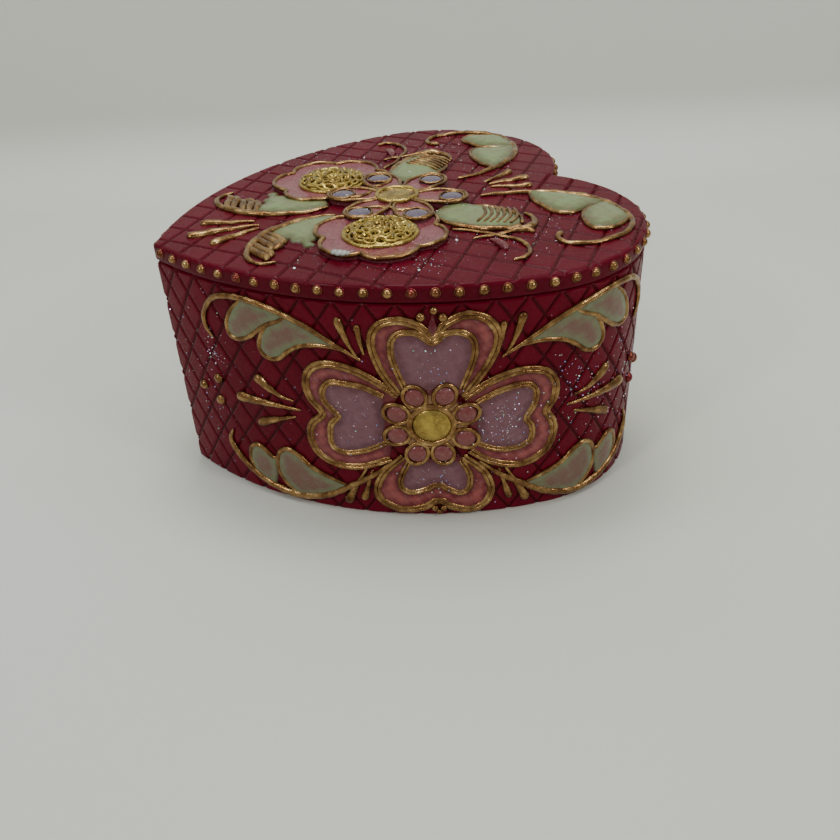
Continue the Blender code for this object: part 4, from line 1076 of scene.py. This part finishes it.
def add_link(solids, centre, radius, angle):
    """One oval chain link lying on a side flower's dome."""
    spot = np.array([centre[0] + radius * math.cos(angle), centre[1] + radius * math.sin(angle)])
    height = 0.5 + 1.45 * math.sqrt(max(0.0, 1 - (radius / 7.7) ** 2)) + RNG.uniform(0, 0.25)
    normal = np.array([radius * math.cos(angle) * 0.055, radius * math.sin(angle) * 0.055, 1.0])
    normal /= np.linalg.norm(normal)
    lean = angle + math.pi / 2 + RNG.uniform(-0.7, 0.7)
    u = np.array([math.cos(lean), math.sin(lean), 0.0])
    u -= normal * (u @ normal)
    u /= np.linalg.norm(u)
    v = np.cross(normal, u)
    long, short = 1.25 + RNG.uniform(-0.1, 0.2), 0.72 + RNG.uniform(-0.1, 0.1)
    tilt = RNG.uniform(-0.35, 0.35)
    base = on_lid(spot[None], height)[0]
    a = np.linspace(0, 2 * math.pi, 12, endpoint=False)
    path = base + long * np.cos(a)[:, None] * u + short * np.sin(a)[:, None] * v
    path += (tilt * np.sin(a))[:, None] * normal
    add_tube(solids, path, normal, np.full(12, 0.36), sides=6, flat=1.0, closed=True, sink=0)


WALL_DROP = [(65.0, 49.0, 0.3), (65.0, 47.9, 0.7), (65.0, 46.6, 0.95), (65.0, 45.4, 0.6)]
CHIP_ANGLE = math.radians(-55)
CHIP_LUMPS = ((-0.075, 0.75), (0.0, 0.9), (0.07, 0.8), (0.13, 0.55))


def make_drops(red):
    """Dark red drops on the lid and the walls."""
    on_top, on_walls = Solids(), Solids()
    for points in both_sides(RED_DROP):
        lid_tube(on_top, points, 0.2)
    for side in (1, -1):
        wall_tube(on_walls, WALL_DROP, side, offset=0.3)
    on_top.finish("lid_drops", red, "lid")
    on_walls.finish("wall_drops", red, "case")


def make_chip(bare):
    """Bare resin where a bit of one petal's rim has broken off."""
    chip = Solids()
    for along, size in CHIP_LUMPS:
        angle = CHIP_ANGLE + along
        spot = SIDE_FLOWER + skirt_reach(angle, 1) * np.array([math.cos(angle), math.sin(angle)])
        add_ball(chip, on_lid(spot[None], 1.45)[0], size, (0.2, -0.3, 1), 0.45, 12, 8)
    chip.finish("petal_chip", bare, "lid")


def add_flake(solids, spot, normal, size, tint):
    """A tiny flat octahedron lying nearly flush with the surface."""
    n = Vector(normal) + Vector(RNG.normal(0, 0.45, 3))
    n.normalize()
    turn = n.to_track_quat("Z", "Y").to_matrix()
    spin = RNG.uniform(0, math.pi)
    turns = [spin + k * math.pi / 2 for k in range(4)]
    corners = [Vector((math.cos(a) * size, math.sin(a) * size, 0)) for a in turns]
    points = [Vector((0, 0, size * 0.35)), *corners, Vector((0, 0, -size * 0.35))]
    faces = []
    for k in range(4):
        after = 1 + (k + 1) % 4
        faces += [(0, 1 + k, after), (5, after, 1 + k)]
    solids.put([Vector(spot) + turn @ p for p in points], faces, tint)


TINTS = [(0.75, 0.75, 0.78), (0.55, 0.45, 0.75), (0.35, 0.45, 0.8), (0.4, 0.7, 0.55), (0.8, 0.55, 0.7)]


SPREAD = 0.6


def pick_tint():
    return TINTS[int(RNG.integers(len(TINTS)))]


def inside_loop(x, y, loop):
    return polygon_fields(np.array([x]), np.array([y]), loop)[0][0]


# Each cloud of glitter is its middle, its spread both ways and its count.
WALL_CLOUDS = [(79, 24.5, 5.0, 5.0, 90), (65, 38, 5, 4, 22), (51, 24.5, 5, 5, 22), (65, 9.5, 5, 3, 26),
               (96, 28, 8, 12, 150), (14, 34, 4.5, 4, 44), (10, 26, 9, 22, 80), (60, 26, 40, 16, 90),
               (112, 26, 10, 14, 150)]
LID_CLOUDS = [(30, 2, 10, 12, 150), (33, -25, 8, 10, 120), (15, -8, 12, 14, 70), (18, -27, 8, 8, 40),
              (10, 10, 10, 10, 60), (16, -42, 12, 9, 40)]
LARGE_FLAKES = [(2.5, -7.5, 2.2), (13.5, -6.5, 1.6), (-12, -9.5, 2.0), (-4, -27.5, 1.8), (27.5, -14, 0.3),
                (37.5, -26, 0.3), (26, -47.5, 0.3), (-32, -14.5, 0.4), (7.5, -26.5, 2.2)]
LID_INSIDE = np.stack(heart_xy(perimeter(1.35), -2.0), axis=1) - (0, CENTRE_Y)


def scatter_on_wall(flakes, side):
    for s0, z0, ds, dz, count in WALL_CLOUDS:
        for _ in range(count):
            s = s0 + RNG.normal(0, ds * SPREAD)
            z = min(50.0, max(1.0, z0 + RNG.normal(0, dz * SPREAD)))
            raised = any(inside_loop(s, z, petal["outer"]) for petal in PETALS.values())
            lift = 0.85 if raised else 0.12
            spot, normal = wall_to_space(np.array([max(1.0, s)]), np.array([z]), lift, side)
            add_flake(flakes, spot[0], normal[0], RNG.uniform(0.1, 0.2), pick_tint())


def scatter_on_lid(flakes, side):
    for x0, y0, dx, dy, count in LID_CLOUDS:
        for _ in range(count):
            x, y = x0 + RNG.normal(0, dx * SPREAD), y0 + RNG.normal(0, dy * SPREAD)
            if not inside_loop(x, y, LID_INSIDE):
                continue
            from_side = np.hypot(x - SIDE_FLOWER[0], y - SIDE_FLOWER[1])
            from_front = np.hypot(x, y - FLOWER[1])
            lift = 2.1 if from_side < 7 else 0.7 if from_side < 11 else 1.3 if from_front < 15 else 0.08
            spot = on_lid(np.array([[side * x, y]]), lift)[0]
            add_flake(flakes, spot, (0, 0, 1), RNG.uniform(0.07, 0.14), pick_tint())


def make_glitter(material):
    """Loose glitter that has settled in the paint, thickest on the petals and the lid's rear."""
    case, lid = Solids(), Solids()
    for side in (1, -1):
        scatter_on_wall(case, side)
        scatter_on_lid(lid, side)
    for x, y, lift in LARGE_FLAKES:
        add_flake(lid, on_lid(np.array([[x, y]]), lift)[0], (0, 0, 1), 0.34, (0.85, 0.9, 0.92))
    case.finish("case_glitter", material, "case", attribute="tint", sharp=10)
    lid.finish("lid_glitter", material, "lid", attribute="tint", sharp=10)


# ---------------------------------------------------------------- padded lining

PAD_LOW = 35.8
PAD_HIGH = 37.3
PAD_SCALE = 0.01
MOST_SWELL = 1.3
DIMPLE = 4.5
CLOTH_FRAMES = 20
TUFTS = [(0, 12), (-22, 20), (22, 20), (-22, -2), (22, -2), (0, -14), (-10.5, -29), (10.5, -29), (0, -40),
         (-38, 12), (38, 12)]


def pad_blank():
    """The pad as it is cut: a flat heart, a little smaller than the compartment, at ten times life size."""
    s = perimeter(1.6)
    points = np.vstack(outline_rows(s, ((6.4, PAD_LOW), (6.4, PAD_HIGH)))) * PAD_SCALE
    mesh = bpy.data.meshes.new("pad_blank")
    mesh.from_pydata([tuple(p) for p in points], [], closed_grid(2, len(s)))
    made = bpy.data.objects.new("lining_pad", mesh)
    bpy.context.scene.collection.objects.link(made)
    return made


def settled(obj):
    """Replace an object's mesh by what its modifiers make of it."""
    graph = bpy.context.evaluated_depsgraph_get()
    mesh = bpy.data.meshes.new_from_object(obj.evaluated_get(graph))
    obj.modifiers.clear()
    obj.data = mesh


def nearest_tuft(x, y):
    return min(math.hypot(x - a, y - b) for a, b in TUFTS)


def swell(pad, flat):
    """Cloth simulation: pressure fills the pad, which is held at its bottom and at its tufts."""
    pins = pad.vertex_groups.new(name="pins")
    for index, (x, y, z) in enumerate(flat):
        if z < PAD_LOW + 0.4 or nearest_tuft(x, y) < 0.9:
            pins.add([index], 1.0, "REPLACE")
    cloth = pad.modifiers.new("cloth", "CLOTH")
    cloth.settings.vertex_group_mass = "pins"
    cloth.settings.quality = 6
    cloth.settings.use_pressure = True
    cloth.settings.uniform_pressure_force = 4.0
    cloth.settings.effector_weights.gravity = 0
    cloth.collision_settings.use_self_collision = False
    scene = bpy.context.scene
    for frame_number in range(1, CLOTH_FRAMES + 1):
        scene.frame_set(frame_number)
    settled(pad)
    scene.frame_set(1)


def mesh_points(obj):
    return np.array([v.co for v in obj.data.vertices]) / PAD_SCALE


def make_lining(velvet_look):
    pad = pad_blank()
    remesh = pad.modifiers.new("remesh", "REMESH")
    remesh.mode = "VOXEL"
    remesh.voxel_size = 1.1 * PAD_SCALE
    settled(pad)
    flat = mesh_points(pad)
    swell(pad, flat)
    move = mesh_points(pad) - flat
    length = np.linalg.norm(move, axis=1)
    share = np.minimum(1.0, MOST_SWELL / np.maximum(length, 1e-6))
    points = flat + move * share[:, None]
    for index, (x, y, z) in enumerate(points):
        near = nearest_tuft(x, y)
        if z > PAD_LOW + 0.6 and near < DIMPLE:
            points[index, 2] -= 0.8 * (1 - near / DIMPLE) ** 2
    for vertex, co in zip(pad.data.vertices, points * MM):
        vertex.co = co
    pad.data.materials.clear()
    pad.data.materials.append(velvet_look)
    pad.data.shade_smooth()
    smooth = pad.modifiers.new("smooth", "SUBSURF")
    smooth.levels = smooth.render_levels = 1
    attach(pad, "case")
    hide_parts("compartment_lining")


def make_lining_trim(velvet_look):
    """Covered buttons at the tufts, and piping round the pad's edge."""
    trim = Solids()
    for x, y in TUFTS:
        add_ball(trim, (x, y, PAD_HIGH - 0.1), 1.25, (0, 0, 1), 0.45, 18, 10)
    s = perimeter(0.8)
    x, y = heart_xy(s, -5.95)
    path = np.stack([x, y, np.full(len(s), PAD_LOW + 0.75)], axis=1)
    twist = 0.62 + 0.07 * np.sin(np.arange(len(s)) * 2.1)
    add_tube(trim, path, np.array([0.0, 0.0, 1.0]), twist, sides=8, flat=1.0, closed=True, sink=0)
    trim.finish("lining_trim", velvet_look, "case", slot="velvet")


# ---------------------------------------------------------------- everything together

GILT = gilt_paint("gilt_paint")
YELLOW_GILT = gilt_paint("bright_gilt", True)
PINK_ENAMEL = enamel_paint("pink_enamel", (0.15, 0.028, 0.028), (0.19, 0.055, 0.05))
LID_PINK = enamel_paint("lid_pink_enamel", (0.18, 0.042, 0.052), (0.125, 0.018, 0.026))
VIOLET = enamel_paint("violet_enamel", (0.06, 0.04, 0.075), (0.10, 0.075, 0.11), 0.2)
VELVET = velvet()
make_body(resin_paint("wall_resin", 1.0))
# The lid gets a darker copy of the wall paint: painted shade on its top, against the stronger light from
# above.
make_lid(resin_paint("lid_resin", 0.78))
make_beads(GILT)
for side, label in ((1, "right"), (-1, "left")):
    make_wall_gilding(side, f"wall_gilding_{label}", GILT)
    make_wall_disc(side, f"wall_disc_{label}", YELLOW_GILT)
    make_wall_gems(side, f"wall_florets_{label}", PINK_ENAMEL)
make_lid_gilding(GILT)
make_lid_flowers(LID_PINK, VIOLET, YELLOW_GILT)
make_drops(enamel_paint("red_enamel", (0.12, 0.004, 0.012), (0.08, 0.003, 0.008), 0.22))
make_chip(enamel_paint("bare_resin", (0.30, 0.30, 0.28), (0.22, 0.21, 0.2), 0.5))
make_glitter(glitter_paint())
make_lining(VELVET)
make_lining_trim(VELVET)

BRASS_LOOK = metal("brass_look", (0.72, 0.52, 0.22), 0.28)
STEEL_LOOK = metal("steel_look", (0.55, 0.56, 0.58), 0.3, 0.6, (0.3, 0.28, 0.26), 0.2)
LOOKS = {
    "velvet": VELVET,
    "base_plate": metal("plate_look", (0.55, 0.56, 0.57), 0.42, 1.0, (0.35, 0.33, 0.3), 0.3),
    "key_brass": BRASS_LOOK,
    "barrel_brass": BRASS_LOOK,
    "cylinder_brass": metal("cylinder_look", (0.75, 0.56, 0.24), 0.22, 0.8),
    "wheel_brass": BRASS_LOOK,
    "bracket_brass": BRASS_LOOK,
    "bedplate_zinc": metal("zinc_look", (0.48, 0.48, 0.49), 0.5, 0.0, (0.3, 0.29, 0.28), 0.4),
    "mainspring_steel": metal("blued_look", (0.18, 0.22, 0.34), 0.25, 0.5, (0.2, 0.15, 0.12), 0.3),
}
SLOT_OF = {row["node"]: row.get("material_slot") for row in frame["record"]["subparts"]}
for node, obj in frame["nodes"].items():
    obj.data.materials.clear()
    obj.data.materials.append(LOOKS.get(SLOT_OF.get(node), STEEL_LOOK))


FOLD = 0.155
FOLD_RADIUS = 0.03


def make_stage():
    """A flat table with a softly curved rise far behind it."""
    away = Vector((forward.x, forward.y, 0)).normalized()
    across = Vector((away.y, -away.x, 0))
    rows = [(-0.9, 0.0), (FOLD, 0.0)]
    for step in range(1, 13):
        angle = math.pi / 2 * step / 12
        rows.append((FOLD + FOLD_RADIUS * math.sin(angle), FOLD_RADIUS * (1 - math.cos(angle))))
    rows.append((FOLD + FOLD_RADIUS, 1.2))
    points, faces = [], []
    for distance, height in rows:
        for side in (-1.6, 1.6):
            points.append((away * distance + across * side + Vector((0, 0, height))) * 1000)
    for i in range(len(rows) - 1):
        faces.append((2 * i, 2 * i + 1, 2 * i + 3, 2 * i + 2))
    floor = mesh_object("table_top", points, faces, stage_material(), None)


make_stage()
